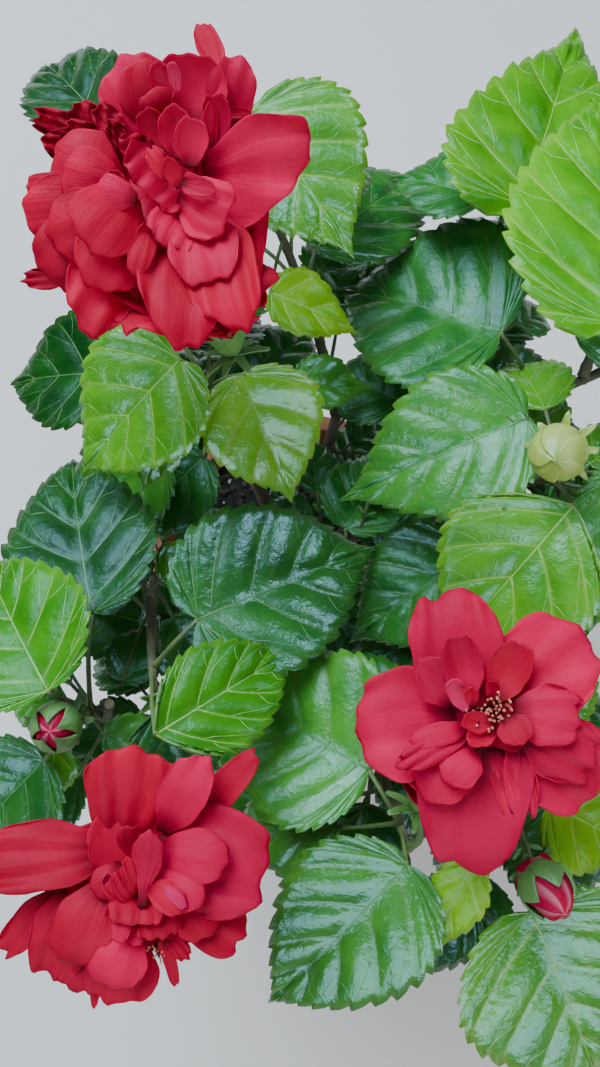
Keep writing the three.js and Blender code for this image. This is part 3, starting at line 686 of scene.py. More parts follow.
MASSES = {
    "back_left": {
        "fork": [3, 2, 254],
        "bough": [[-24, 30, 290], [-42, 56, 340]],
        "stems": [
            [[-52, 62, 410], [-56, 58, 465], [-52, 52, 505]],
            [[-52, 62, 405], [-80, 70, 440], [-98, 72, 468]],
        ],
        "leaves": [
            ([-63, 50, 540], -139, 88, 78, "bright", -16, 0.1),
            # This leaf gets a much lighter green as painted light, against the shade of the bloom above
            # it.
            ([-31, 45, 532], -66, 76, 70, "fresh", -20, 0.4),
            ([-112, 68, 480], 175, 80, 76, "shade"),
            ([-60, 24, 452], -139, 72, 62, "dark"),
        ],
        "bloom": [[-42, 46, 545], [-32, 38, 580]],
    },
    "back": {
        "fork": [2, 1, 238],
        "bough": [[14, 48, 275], [28, 92, 335]],
        "stems": [[[18, 108, 400], [8, 118, 450], [-10, 144, 500], [-26, 166, 530]]],
        "leaves": [
            ([-110, 196, 530], 124, 110, 68, "deep"),
            ([-26, 186, 556], -52, 92, 92, "bright", -4),
            ([10, 152, 478], 48, 122, 80, "dark"),
            ([-16, 95, 528], -16, 54, 40, "lime"),
        ],
    },
    "back_right": {
        "fork": [3, 2, 246],
        "bough": [[46, 36, 290], [82, 70, 345]],
        "stems": [[[104, 100, 405], [124, 132, 460], [134, 156, 498]]],
        "leaves": [
            ([125, 147, 530], 71, 166, 92, "soft", -2, -0.9),
            ([66, 65, 440], 146, 62, 58, "dark"),
            ([74, 122, 442], 98, 84, 60, "dark"),
        ],
    },
    "right": {
        "fork": [4, 3, 256],
        "bough": [[66, 14, 300], [118, 20, 350]],
        "stems": [
            [[132, 20, 400], [140, 8, 450], [148, 2, 500]],
            [[130, 20, 388], [156, 66, 426], [196, 86, 440], [208, 78, 490], [186, 62, 545]],
            [[184, 83, 438], [190, 104, 452]],
        ],
        "leaves": [
            ([123, 25, 520], -161, 112, 84, "mid"),
            ([144, -24, 522], -131, 106, 96, "bright", -12, 1.0),
            ([176, -6, 520], -101, 92, 62, "mid"),
            ([100, -38, 460], -144, 90, 72, "dark"),
            ([158, 60, 562], 86, 160, 114, "soft", 0, 0.1),
            ([119, 90, 488], 150, 118, 124, "dark"),
            ([168, 92, 478], 14, 66, 60, "mid"),
        ],
        "buds": [{"foot": [146, 3, 490], "tip": [136, 5, 532], "radius": 14, "length": 40}],
    },
    "front_right": {
        "fork": [2, 1, 240],
        "bough": [[42, -50, 285], [82, -92, 340]],
        "stems": [[[104, -124, 400], [114, -162, 450], [118, -196, 484]]],
        "leaves": [
            ([118, -230, 492], -66, 116, 108, "bright", -12, 0.2),
            ([138, -182, 466], -81, 74, 60, "dark"),
            ([128, -176, 502], -27, 62, 56, "lime"),
            ([86, -69, 430], -137, 74, 60, "dark"),
            # This small leaf takes the light lime tone as painted light that shines through it.
            ([86, -205, 504], -115, 58, 30, "lime"),
        ],
        "buds": [{"foot": [116, -184, 472], "tip": [115, -207, 514], "radius": 13, "length": 34}],
    },
    "front": {
        "fork": [3, 2, 248],
        "bough": [[18, -60, 300], [34, -112, 350]],
        "stems": [[[44, -148, 405], [52, -180, 455], [57, -200, 486]]],
        "leaves": [
            ([36, -160, 495], 150, 92, 98, "mid"),
            ([54, -206, 500], -132, 114, 86, "mid"),
            ([56, -134, 448], 130, 58, 44, "dark"),
        ],
        "bloom": [[60, -192, 508], [57, -174, 526]],
    },
    "front_left": {
        "fork": [4, 3, 257],
        "bough": [[-40, -58, 300], [-76, -112, 345]],
        "stems": [
            [[-84, -140, 400], [-80, -170, 438], [-74, -188, 466]],
            [[-83, -136, 394], [-112, -134, 436], [-121, -128, 480]],
        ],
        "leaves": [
            ([-139, -156, 480], -136, 76, 64, "dark"),
            ([-128, -166, 448], -150, 62, 50, "dark"),
            ([-112, -78, 500], 106, 116, 86, "deep"),
            ([-122, -120, 538], 125, 98, 80, "plain", -12, 0.4),
            ([-106, -142, 482], -10, 46, 26, "mid"),
        ],
        "buds": [{"foot": [-121, -130, 478], "tip": [-121, -136, 514], "radius": 12.5, "length": 26}],
        "bloom": [[-70, -197, 480], [-67, -203, 498]],
    },
    "left": {
        "fork": [2, 1, 236],
        "bough": [[-52, -8, 275], [-90, -28, 335]],
        "stems": [[[-98, -42, 385], [-92, -64, 430], [-84, -98, 472], [-76, -122, 504]]],
        "leaves": [
            ([-54, -82, 505], 26, 120, 94, "dark", -12, 0),
            ([-70, -141, 532], 33, 88, 56, "plain", -12, 0.9),
            ([-104, -112, 452], 66, 44, 32, "dark"),
            ([-102, -74, 418], 165, 80, 62, "dark"),
        ],
    },
    "middle": {
        "fork": [5, 3, 258],
        "bough": [[12, -4, 300], [20, -16, 340]],
        "stems": [[[28, -30, 385], [36, -46, 425]]],
        "leaves": [
            ([30, -12, 412], 60, 74, 60, "dark"),
            ([30, -50, 412], -100, 58, 48, "dark"),
        ],
    },
}
print("the plan lists", sum(len(m["leaves"]) for m in MASSES.values()), "leaves")

# %% [markdown]
# ## The growing rule
# The frame filled each stem with leaves by a seeded rule: the golden angle from node to node, a
# few tries at each, and a leaf is kept only if it stays clear of all that is there already. The
# same rule with the same seed gives the same leaves here. It is written with arrays of points,
# so that testing a leaf against a few hundred others takes no time.

# %% Set out a leaf and sample it


def leaf_outline(u):
    return np.maximum(0.05, np.sin(np.pi * np.minimum(1, 0.03 + 0.97 * np.asarray(u)) ** 0.6)) ** 0.75


def frame_of(origin, heading, pitch, roll=0.0):
    h, p, r = heading * DEG, pitch * DEG, roll * DEG
    x = np.array([math.cos(h) * math.cos(p), math.sin(h) * math.cos(p), math.sin(p)])
    side = np.array([-math.sin(h), math.cos(h), 0])
    up = np.cross(x, side)
    y = side * math.cos(r) + up * math.sin(r)
    z = up * math.cos(r) - side * math.sin(r)
    return {"origin": np.array(origin, float), "x": x, "y": y, "z": z}


def leaf_at(origin, heading, length, width, pitch=LEAF_PITCH, roll=0.0):
    return {**frame_of(origin, heading, pitch, roll), "length": length, "width": width}


def blade_at(leaf, along, across, lift):
    """Points of a leaf: along and across in mm on the flat blade, lift off its bent face."""
    bend = LEAF_BEND * DEG
    turn = bend * along / leaf["length"]
    run = leaf["length"] * np.sin(turn) / bend
    rise = leaf["length"] * (1 - np.cos(turn)) / bend
    return (leaf["origin"] + np.multiply.outer(run - lift * np.sin(turn), leaf["x"])
            + np.multiply.outer(rise + lift * np.cos(turn), leaf["z"])
            + np.multiply.outer(across * np.ones_like(run), leaf["y"]))


def samples_of(leaf):
    u, v = np.meshgrid([0.06, 0.28, 0.5, 0.72, 0.92], [-0.95, -0.5, 0, 0.5, 0.95], indexing="ij")
    u, v = np.append(u.ravel(), 1), np.append(v.ravel(), 0)
    half = leaf["width"] / 2 * leaf_outline(u)
    return blade_at(leaf, u * leaf["length"], half * v, LEAF_FOLD * half * np.abs(v))


def near_leaf(leaf, points, clear):
    away = points - leaf["origin"]
    u = away @ leaf["x"] / leaf["length"]
    half = leaf["width"] / 2 * leaf_outline(np.maximum(0, u))
    y = np.abs(away @ leaf["y"])
    bend = LEAF_BEND * DEG
    face = leaf["length"] * (1 - np.cos(bend * u)) / bend + LEAF_FOLD * np.minimum(half, y)
    close = np.abs(away @ leaf["z"] - face) < clear
    return bool(np.any((u >= -0.06) & (u <= 1.06) & (y <= half + clear) & close))


test_leaf = leaf_at([0, 0, 0], 0, 100, 80)
print("a leaf's tip hangs", round(float(-samples_of(test_leaf)[-1][2])), "mm below its base")

# %% Keep the leaves and points that are placed
STALK_SHARES = [0.35, 0.6, 0.85]
placed_leaves = []
placed_points = []


def tapered(radii):
    return lambda share: radii[0] + (radii[1] - radii[0]) * share


def keep_points(points, radius_at, steps):
    for i in range(steps + 1):
        placed_points.append((curve_at(points, i / steps)[0], radius_at(i / steps)))


def leaf_is_clear(leaf, stalk):
    own = samples_of(leaf)
    around = np.concatenate([own, stalk])
    centre = around.mean(0)
    reach = np.linalg.norm(around - centre, axis=1).max() + 4 * LEAF_CLEAR
    for other in placed_leaves:
        if np.linalg.norm(other["centre"] - centre) > reach + other["reach"]:
            continue
        if near_leaf(other, own, LEAF_CLEAR) or near_leaf(leaf, other["samples"], LEAF_CLEAR):
            return False
        if near_leaf(leaf, other["stalk"], WOOD_CLEAR + 2) or near_leaf(other, stalk, WOOD_CLEAR + 2):
            return False
    points = np.array([p for p, _ in placed_points])
    room = np.array([radius for _, radius in placed_points]) + WOOD_CLEAR
    if near_leaf(leaf, points, room):
        return False
    return not np.any(np.linalg.norm(own[:, None] - points[None], axis=2) < room)


def stalk_of(start, leaf):
    base = leaf["origin"]
    middle = start + (base - start) * 0.55
    middle[2] += 0.1 * np.linalg.norm(base - start)
    return [start, middle, base]


def keep_leaf(leaf, path, tone):
    leaf["samples"] = samples_of(leaf)
    leaf["path"] = path
    leaf["stalk"] = curve_at(path, STALK_SHARES)
    around = np.concatenate([leaf["samples"], leaf["stalk"]])
    leaf["centre"] = around.mean(0)
    leaf["reach"] = np.linalg.norm(around - leaf["centre"], axis=1).max() + 4 * LEAF_CLEAR
    leaf["tone"] = tone
    placed_leaves.append(leaf)


# %% Place the wood, the known leaves, the buds and the blooms
trunk_path = [[0, 0, SOIL_LEVEL + SOIL_CROWN + GAP], [0, 0, 232], [4, 3, SOIL_LEVEL + TRUNK_HEIGHT]]


def trunk_radius(share):
    return TRUNK_RADII[1] + (TRUNK_RADII[0] - TRUNK_RADII[1]) * (1 - share) ** 3


LISTED_WEDGE = 0.3
BLOOM_FACING = {"back_left": [-19, 33, 75], "front": [27, 52, 52], "front_left": [-3, 5, 67]}
keep_points(trunk_path, trunk_radius, 4)
bough_paths = {name: [mass["fork"], *mass["bough"]] for name, mass in MASSES.items()}
for path in bough_paths.values():
    keep_points(path, tapered(BOUGH_RADII), 20)
keep_points(SOIL_WINDOW, lambda share: SOIL_WINDOW_RADIUS, 20)
stems = {}
for name, mass in MASSES.items():
    start = curve_at(bough_paths[name], 1)[0] + GAP * tangent_at(bough_paths[name], 1)[0]
    first, *others = mass["stems"]
    stems[name] = [np.array(stem, float) for stem in ([start.tolist(), *first], *others)]
    for stem in stems[name]:
        keep_points(stem, tapered(STEM_RADII), 20)
flower_stalks = {name: np.array([stems[name][0][-1], *MASSES[name]["bloom"]]) for name in BLOOM_FACING}
for path in flower_stalks.values():
    keep_points(path, tapered(FLOWER_STALK_RADII), 8)


def node_for(own_stems, base):
    """The nearest place on the stems that lies below a leaf's base."""
    nodes = np.concatenate([curve_at(stem, np.arange(1, 11) / 12) for stem in own_stems])
    climb = base[2] - nodes[:, 2]
    cost = np.linalg.norm(nodes - base, axis=1) + 4 * np.maximum(0, 12 - climb)
    return nodes[np.argmin(cost)]


for name, mass in MASSES.items():
    for base, heading, length, width, tone, *more in mass["leaves"]:
        leaf = leaf_at(base, heading, length, width, *more[:1])
        leaf["wedge"] = more[1] if len(more) > 1 else LISTED_WEDGE
        keep_leaf(leaf, stalk_of(node_for(stems[name], leaf["origin"]), leaf), tone)
known_count = len(placed_leaves)
for mass in MASSES.values():
    for bud in mass.get("buds", []):
        keep_points([bud["foot"], bud["tip"]], tapered(FLOWER_STALK_RADII), 6)
        foot, tip = np.array(bud["foot"], float), np.array(bud["tip"], float)
        middle = tip + (foot - tip) * (-0.5 * bud["length"] / np.linalg.norm(tip - foot))
        placed_points.append((middle, max(bud["radius"], bud["length"] / 2)))
for name, facing in BLOOM_FACING.items():
    centre = np.array(MASSES[name]["bloom"][1], float) + unit(facing) * BLOOM_REACH
    placed_points.append((centre, BLOOM_CLEAR))
print("known leaves:", known_count)

# %% Fill the stems by the seeded rule
FILLER_TRIES = 9
FILLER_STEP = 18
GOLDEN_TURN = 137.5
STEMS_MIDDLE = (10, -20)
CROWN_MIDDLE = (20, -20)
CROWN_RADIUS = 205
CROWN_NARROW = 0.72
CROWN_LOWEST = 246
DARK_BELOW = 420
seed = 41


def draw(low, high):
    global seed
    seed = (seed * 1664525 + 1013904223) % 4294967296
    return low + (high - low) * seed / 4294967296


def tone_for(height):
    if height < DARK_BELOW:
        return "dark"
    return look.choice(["dark", "mid", "bright"], p=[0.45, 0.40, 0.15])


def outward_at(node):
    return math.atan2(node[1] - STEMS_MIDDLE[1], node[0] - STEMS_MIDDLE[0]) / DEG


def in_crown(leaf, radius):
    """Whether a leaf's tip lies in the crown's oval and above the pot."""
    x, y, z = samples_of(leaf)[-1]
    away = math.hypot(x - CROWN_MIDDLE[0], (y - CROWN_MIDDLE[1]) * CROWN_NARROW)
    return away < radius and z > CROWN_LOWEST


def fill_stem(stem):
    nodes = max(2, math.floor(path_length(stem) / FILLER_STEP + 0.5))
    turn = draw(0, 360)
    for n in range(nodes):
        node = curve_at(stem, (n + 0.3) / nodes)[0]
        for _ in range(FILLER_TRIES):
            turn = (turn + GOLDEN_TURN) % 360
            heading = outward_at(node) + (turn - 180) * 0.62
            length, reach, climb = draw(62, 98), draw(22, 44), draw(4, 26)
            pitch, roll = draw(-34, -10), draw(-16, 16)
            away = [reach * math.cos(heading * DEG), reach * math.sin(heading * DEG), climb]
            leaf = leaf_at(node + away, heading, length, length * draw(0.66, 0.84), pitch, roll)
            path = stalk_of(node, leaf)
            if in_crown(leaf, CROWN_RADIUS) and leaf_is_clear(leaf, curve_at(path, STALK_SHARES)):
                keep_leaf(leaf, path, tone_for(node[2]))
                break


for own_stems in stems.values():
    for stem in own_stems:
        fill_stem(stem)
filled_count = len(placed_leaves)
print("leaves after the frame's rule:", filled_count)

# %% [markdown]
# The frame stops at whole leaves. The real shrub goes on to finer twigs with young leaves, so
# the rule is carried one step further: short twigs off the stems and boughs, each with two or
# three smaller leaves, wherever there is room left.

# %% Carry the rule on to finer twigs
TWIG_RADII = (1.6, 1.0)
TWIG_CROWN = 208
TWIG_LEAF_TURNS = ((0.45, 62), (0.75, -58), (1, 4))
BRIGHT_ABOVE = 470
BRANCH_WINDOW = [[176, 76, 445], [132, 25, 567]]
keep_points(BRANCH_WINDOW, lambda share: SOIL_WINDOW_RADIUS, 10)
twigs = []


def grow_twig(node, heading, length, climb):
    away = np.array([math.cos(heading * DEG), math.sin(heading * DEG), climb])
    path = np.array([node, node + 0.5 * length * away + [0, 0, -0.04 * length], node + length * away])
    kept = 0
    for share, side in TWIG_LEAF_TURNS:
        start = curve_at(path, share)[0]
        size = look.uniform(34, 62)
        reach = look.uniform(8, 20)
        turned = heading + side + look.uniform(-14, 14)
        climb = look.uniform(3, 9)
        base = start + [reach * math.cos(turned * DEG), reach * math.sin(turned * DEG), climb]
        leaf = leaf_at(base, turned, size, size * look.uniform(0.66, 0.84), look.uniform(-30, -6),
                       look.uniform(-14, 14))
        stalk = stalk_of(start, leaf)
        if in_crown(leaf, TWIG_CROWN) and leaf_is_clear(leaf, curve_at(stalk, STALK_SHARES)):
            keep_leaf(leaf, stalk, "bright" if base[2] > BRIGHT_ABOVE else tone_for(base[2]))
            kept += 1
    if kept:
        twigs.append(path)


for name, own_stems in stems.items():
    for stem in [np.array(bough_paths[name], float), *own_stems]:
        for share in np.arange(0.3, 1, 0.1):
            node = curve_at(stem, share)[0]
            heading = outward_at(node) + look.uniform(-120, 120)
            grow_twig(node, heading, look.uniform(18, 40), look.uniform(-0.1, 0.6))
print("twigs:", len(twigs), "leaves in all:", len(placed_leaves))

# %% [markdown]
# ## Trunk and boughs
# A hibiscus forks low, and each bough swells where it leaves the trunk. Each limb is drawn as a
# curve with its own radius at every point and turned into a mesh. A voxel remesh then melts the
# limbs into one skin, which rounds the forks, and two cloud textures raise the bark's relief.

# %% Draw the limbs and melt them together
WOOD_VOXEL = 1.1
FORK_SWELL = 2.2
FORK_REACH = 0.16


def limb_curve(name, path, radii):
    nothing_selected()
    bpy.ops.curve.primitive_nurbs_path_add()
    drawn = bpy.context.object
    drawn.name = name
    drawn.data.splines.clear()
    spline = drawn.data.splines.new("POLY")
    spline.points.add(len(path) - 1)
    for point, place, radius in zip(spline.points, path, radii):
        point.co = (*(np.array(place) * MM), 1)
        point.radius = radius
    drawn.data.bevel_depth = MM
    drawn.data.bevel_resolution = 4
    drawn.data.use_fill_caps = True
    bpy.ops.object.convert(target="MESH")
    return bpy.context.object


shares = np.linspace(0, 1, 25)
limbs = [limb_curve("trunk_limb", curve_at(trunk_path, shares), [trunk_radius(s) for s in shares])]
for name, path in bough_paths.items():
    swell = tapered(BOUGH_RADII)
    radii = [swell(s) + FORK_SWELL * math.exp(-((s / FORK_REACH) ** 2)) for s in shares]
    limbs.append(limb_curve(f"{name}_limb", curve_at(path, shares), radii))
nothing_selected()
for limb in limbs:
    limb.select_set(True)
bpy.context.view_layer.objects.active = limbs[0]
bpy.ops.object.join()
wood = bpy.context.object
wood.name = "trunk_and_boughs"
apply_modifier(wood, "REMESH", mode="VOXEL", voxel_size=WOOD_VOXEL * MM)
apply_modifier(wood, "SMOOTH", factor=0.5, iterations=3)
for grain, strength in ((14, 1.0), (2.4, 0.7)):
    clouds = bpy.data.textures.new(f"bark_{grain}", "CLOUDS")
    clouds.noise_scale = grain * MM
    apply_modifier(wood, "DISPLACE", texture=clouds, texture_coords="LOCAL", strength=strength * MM,
                   mid_level=0.5)
wood.data.materials.clear()
wood.data.materials.append(wood_finish["bark"])
only(wood)
bpy.ops.object.shade_smooth()
settle(wood, ["trunk", *(f"bough_{name}" for name in MASSES)])

# %% [markdown]
# ## Stems, twigs and leaf stalks
# Above the boughs the wood is young and olive, with a swollen ring at every node where a leaf
# left it. The stems are tubes whose radius carries those rings. Leaf stalks are thinner and
# green, and thicken at both ends, where a real one bends to turn its leaf to the light.

# %% Grow the stems and twigs


def stem_tube(path, radii, ring_step=15.0, sides=10):
    length = path_length(path)
    steps = max(6, int(length / 2.2))
    share = np.linspace(0, 1, steps + 1)
    radius = tapered(radii)(share)
    phase = (share * length / ring_step) % 1
    radius = radius * (1 + 0.16 * np.exp(-(((phase - 0.5) / 0.09) ** 2)))
    return tube(curve_at(path, share), radius, sides)


stem_parts = [stem_tube(stem, STEM_RADII) for own_stems in stems.values() for stem in own_stems]
stem_parts += [stem_tube(path, TWIG_RADII, 9.0, 8) for path in twigs]
stem_piece = piece_from("stems", stem_parts, [wood_finish["young"]], weld=0)
settle(stem_piece)

# %% Add pruned stubs with pale cut ends
STUBS = [
    ([184, 83, 438], [190, 104, 452], 3.0),
    ([-112, -133, 452], [-104, -126, 484], 2.5),
    ([30, 94, 338], [44, 104, 352], 3.2),
    ([-78, -113, 346], [-88, -104, 362], 3.0),
    ([60, 12, 294], [66, 26, 312], 3.4),
]
stub_parts, cut_parts = [], []
for foot, tip, radius in STUBS:
    foot, tip = np.array(foot, float), np.array(tip, float)
    along = unit(tip - foot)
    share = np.linspace(0, 1, 12)
    collar = 1 + 0.35 * np.exp(-(((share - 0.92) / 0.1) ** 2)) + 0.3 * np.exp(-((share / 0.15) ** 2))
    stub_parts.append(tube(foot + share[:, None] * (tip - foot), radius * collar, 14))
    face = np.array([-0.8, 0, 0.25, 0.5])[:, None]
    cut_parts.append(tube(tip + face * along, radius * np.array([1.1, 1.1, 1.0, 0.5]), 14))
settle(piece_from("pruned_stubs", stub_parts, [wood_finish["young"]], weld=0))
settle(piece_from("cut_ends", cut_parts, [wood_finish["cut"]], weld=0))

# %% Grow the leaf stalks and flower stalks


def stalk_tube(path, radii, steps=10, sides=8):
    share = np.linspace(0, 1, steps + 1)
    swollen = 1 + 0.35 * np.exp(-((share / 0.12) ** 2)) + 0.3 * np.exp(-(((1 - share) / 0.1) ** 2))
    return tube(curve_at(path, share), tapered(radii)(share) * swollen, sides)


stalk_parts = []
for leaf in placed_leaves:
    thin = min(1.0, 0.45 + leaf["length"] / 160)
    stalk_parts.append(stalk_tube(leaf["path"], [r * thin for r in PETIOLE_RADII]))
for path in flower_stalks.values():
    stalk_parts.append(stalk_tube(path, FLOWER_STALK_RADII, 14))
for mass in MASSES.values():
    for bud in mass.get("buds", []):
        middle = (np.array(bud["foot"]) + np.array(bud["tip"])) / 2
        stalk_parts.append(stalk_tube([bud["foot"], middle, bud["tip"]], FLOWER_STALK_RADII, 8))
stalk_piece = piece_from("leaf_stalks", stalk_parts, [green_finish["stalk"]], weld=0)
settle(stalk_piece)

# %% [markdown]
# ## Leaves
# A hibiscus leaf is broadly oval with coarse, rounded teeth that lean towards the tip. Its foot
# is notched, wedge-shaped or broad as on a heart, so each outline is a mix of two of these. Its
# main veins fan out from the stalk, and the blade swells up between them, which is what breaks
# its gloss into patches. So each half of a leaf is built from rows that run from the midrib to
# the edge the way its veins do: every tooth has four rows, every second tooth's row is a vein,
# and the rows in between are lifted. A Solidify modifier gives the sheet its thickness and its
# paler underside. A tone with many leaves takes two pieces or more, so that none grows too big.

# %% Set out half a leaf along its veins
NOTCHED_EDGE = [(0, 0), (-0.045, 0.12), (-0.08, 0.32), (-0.03, 0.60), (0.09, 0.87), (0.26, 1.0),
                (0.46, 0.91), (0.65, 0.67), (0.80, 0.37), (0.92, 0.12), (1.04, 0)]
WEDGE_EDGE = [(0, 0), (0.03, 0.11), (0.07, 0.26), (0.13, 0.48), (0.22, 0.74), (0.36, 0.95),
              (0.52, 0.93), (0.68, 0.70), (0.81, 0.40), (0.92, 0.15), (1.04, 0)]
HEART_EDGE = [(0, 0), (-0.06, 0.16), (-0.09, 0.46), (-0.05, 0.80), (0.05, 1.06), (0.20, 1.12),
              (0.37, 0.90), (0.55, 0.63), (0.73, 0.36), (0.89, 0.14), (1.04, 0)]
SMOOTH_SHARE = 0.24
ROWS_PER_TOOTH = 4
SMOOTH_ROWS = 4
TOOTH_DEPTH = 0.030
FAN_SHARE = 0.5
GROWN_WEDGE = 0.5
LARGE_LEAF = 85
SMALL_LEAF = 58


def leaf_build(leaf):
    """How finely a leaf is made, by its size: teeth on a side and columns from midrib to edge."""
    if leaf["length"] > LARGE_LEAF:
        return 15, 7
    return (12, 6) if leaf["length"] > SMALL_LEAF else (9, 4)


def half_leaf(leaf, side, habit):
    teeth, columns = leaf_build(leaf)
    smooth = np.linspace(0, SMOOTH_SHARE, SMOOTH_ROWS, endpoint=False)
    toothed = np.linspace(0, 1, teeth * ROWS_PER_TOOTH + 1)
    q = np.concatenate([smooth, SMOOTH_SHARE + (1 - SMOOTH_SHARE) * toothed])
    wedge = leaf.get("wedge", GROWN_WEDGE)
    other = WEDGE_EDGE if wedge > 0 else HEART_EDGE
    outline = (1 - abs(wedge)) * np.array(NOTCHED_EDGE) + abs(wedge) * np.array(other)
    edge = curve_at(outline, q) * [leaf["length"], leaf["width"] / 2 * habit["spread"][side]]
    edge[:, 1] *= 1 - habit["taper"] * np.clip(edge[:, 0] / leaf["length"], 0, 1) ** 2
    along = np.concatenate([smooth * 0, toothed])
    phase = along * teeth % 1
    point = np.where(phase < 0.76, (phase / 0.76) ** 0.6, (1 - phase) / 0.24)
    size = TOOTH_DEPTH * leaf["length"] * np.sin(np.pi * np.clip(along, 0, 1) ** 0.75) ** 0.6
    out = unit(edge - [0.35 * leaf["length"], 0])
    forward = unit(np.gradient(edge, axis=0))
    edge = edge + (out + 0.55 * forward) * (point * size)[:, None]
    edge[:, 1] = np.maximum(edge[:, 1], 0)
    start = np.clip((q - FAN_SHARE) / (1 - FAN_SHARE), 0, 1) * leaf["length"]
    t = np.linspace(0, 1, columns + 1)[None]
    bow_x = start + (edge[:, 0] - start) * 0.40
    bow_y = edge[:, 1] * 0.58
    x = (1 - t) ** 2 * start[:, None] + 2 * t * (1 - t) * bow_x[:, None] + t ** 2 * edge[:, :1]
    y = 2 * t * (1 - t) * bow_y[:, None] + t ** 2 * edge[:, 1:]
    veins = [2] + [SMOOTH_ROWS + ROWS_PER_TOOTH * k + 3 for k in range(1, teeth, 2)]
    marks = np.array([0, *veins, len(q) - 1])
    rows = np.arange(len(q))
    after = np.clip(np.searchsorted(marks, rows, side="right"), 1, len(marks) - 1)
    between = (rows - marks[after - 1]) / (marks[after] - marks[after - 1])
    swell = np.sin(np.pi * between) ** 0.7
    swell[marks] = 0
    room = np.hypot(x[marks[after]] - x[marks[after - 1]], y[marks[after]] - y[marks[after - 1]])
    lift = LEAF_FOLD * y
    rise = np.minimum(1, 4.5 * t) ** 1.5 * (1 - 0.7 * t ** 3)
    lift = lift + habit["pucker"] * swell[:, None] * room * rise
    wave = np.sin(2 * np.pi * (habit["waves"] * q + habit["phase"][side]))
    lift = lift + habit["ruffle"] * wave[:, None] * t ** 2
    tip = np.clip((x / leaf["length"] - 0.65) / 0.35, 0, 1.1)
    lift = lift - habit["droop"] * tip ** 2
    marked = np.stack([swell[:, None] * (1 - t ** 6) + 0 * x, t + 0 * x, habit["tint"] + 0 * x], axis=2)
    return blade_at(leaf, x, side * y, lift), veins, marked


def leaf_habit(leaf, young):
    size = leaf["length"]
    return {
        "spread": {1: look.uniform(0.95, 1.04), -1: look.uniform(0.95, 1.04)},
        "pucker": look.uniform(0.10, 0.145) if young else look.uniform(0.12, 0.18),
        "tint": look.uniform(0, 1),
        "taper": look.uniform(0.15, 0.35) if young else look.uniform(0.05, 0.28),
        "ruffle": size * look.uniform(0.010, 0.024),
        "waves": look.uniform(1.6, 3.2),
        "phase": {1: look.uniform(0, 1), -1: look.uniform(0, 1)},
        "droop": size * look.uniform(-0.01, 0.05),
    }


# %% [markdown]
# A vein is a thin ridge with four sides. Its crest stands a little proud above the blade and more
# below it, as on the real leaf, so that it shows from both sides. Main veins follow the rows of
# the half leaf, and on all but the small leaves short forks leave them for the teeth between.

# %% Lay ridges along the veins
BLADE = 0.5


def ridge(points, normals, wide, tall):
    along = unit(np.gradient(points, axis=0))
    across = unit(np.cross(normals, along))
    wide, tall = np.asarray(wide)[:, None], np.asarray(tall)[:, None]
    low = points - 0.1 * normals
    rings = np.stack([points + tall * normals, low - wide * across,
                      points - (BLADE + 1.6 * tall) * normals, low + wide * across], axis=1)
    faces = grid_faces(len(points), 4, round_about=True, flip=True)
    last = 4 * (len(points) - 1)
    return rings.reshape(-1, 3), [*faces, (0, 1, 2, 3), (last + 3, last + 2, last + 1, last)]


def sample_grid(grid, rows, columns):
    r0 = np.clip(np.floor(rows).astype(int), 0, grid.shape[0] - 2)
    c0 = np.clip(np.floor(columns).astype(int), 0, grid.shape[1] - 2)
    fr, fc = (rows - r0)[:, None], (columns - c0)[:, None]
    near = grid[r0, c0] * (1 - fc) + grid[r0, c0 + 1] * fc
    far = grid[r0 + 1, c0] * (1 - fc) + grid[r0 + 1, c0 + 1] * fc
    return near * (1 - fr) + far * fr


def leaf_ridges(leaf, halves, veins):
    size = leaf["length"] / 100
    s = np.linspace(0.0, 0.97, 14)
    spine = blade_at(leaf, s * leaf["length"], 0 * s, 0 * s)
    up = unit(blade_at(leaf, s * leaf["length"], 0 * s, 0 * s + 1) - spine)
    made = [ridge(spine, up, size ** 0.5 * (0.95 - 0.7 * s), size ** 0.5 * (0.50 - 0.25 * s))]
    for side, grid in halves.items():
        normals = side * np.cross(np.gradient(grid, axis=0), np.gradient(grid, axis=1))
        flat = np.linalg.norm(normals, axis=2) < 1e-6
        normals[flat] = leaf["z"]
        normals = unit(normals)
        columns = grid.shape[1] - 1
        for n, row in enumerate(veins):
            reach = np.linspace(0.02, 0.95, columns + 1) * columns
            share = reach / columns
            strength = 1.0 if n < 4 else 0.85
            made.append(ridge(sample_grid(grid, row + 0 * reach, reach),
                              sample_grid(normals, row + 0 * reach, reach),
                              strength * size ** 0.5 * (0.62 - 0.42 * share),
                              strength * size ** 0.5 * (0.36 - 0.16 * share)))
            for step in (-ROWS_PER_TOOTH, ROWS_PER_TOOTH):
                if n == 0 or leaf["length"] <= SMALL_LEAF or row + step > grid.shape[0] - 4:
                    continue
                fork = np.linspace(0, 1, 5)
                from_share = 0.42 if step > 0 else 0.55
                fork_columns = columns * (from_share + (0.95 - from_share) * fork)
                fork_rows = row + step * fork ** 0.8
                made.append(ridge(sample_grid(grid, fork_rows, fork_columns),
                                  sample_grid(normals, fork_rows, fork_columns),
                                  size ** 0.5 * (0.32 - 0.18 * fork),
                                  size ** 0.5 * (0.34 - 0.12 * fork)))
    return made


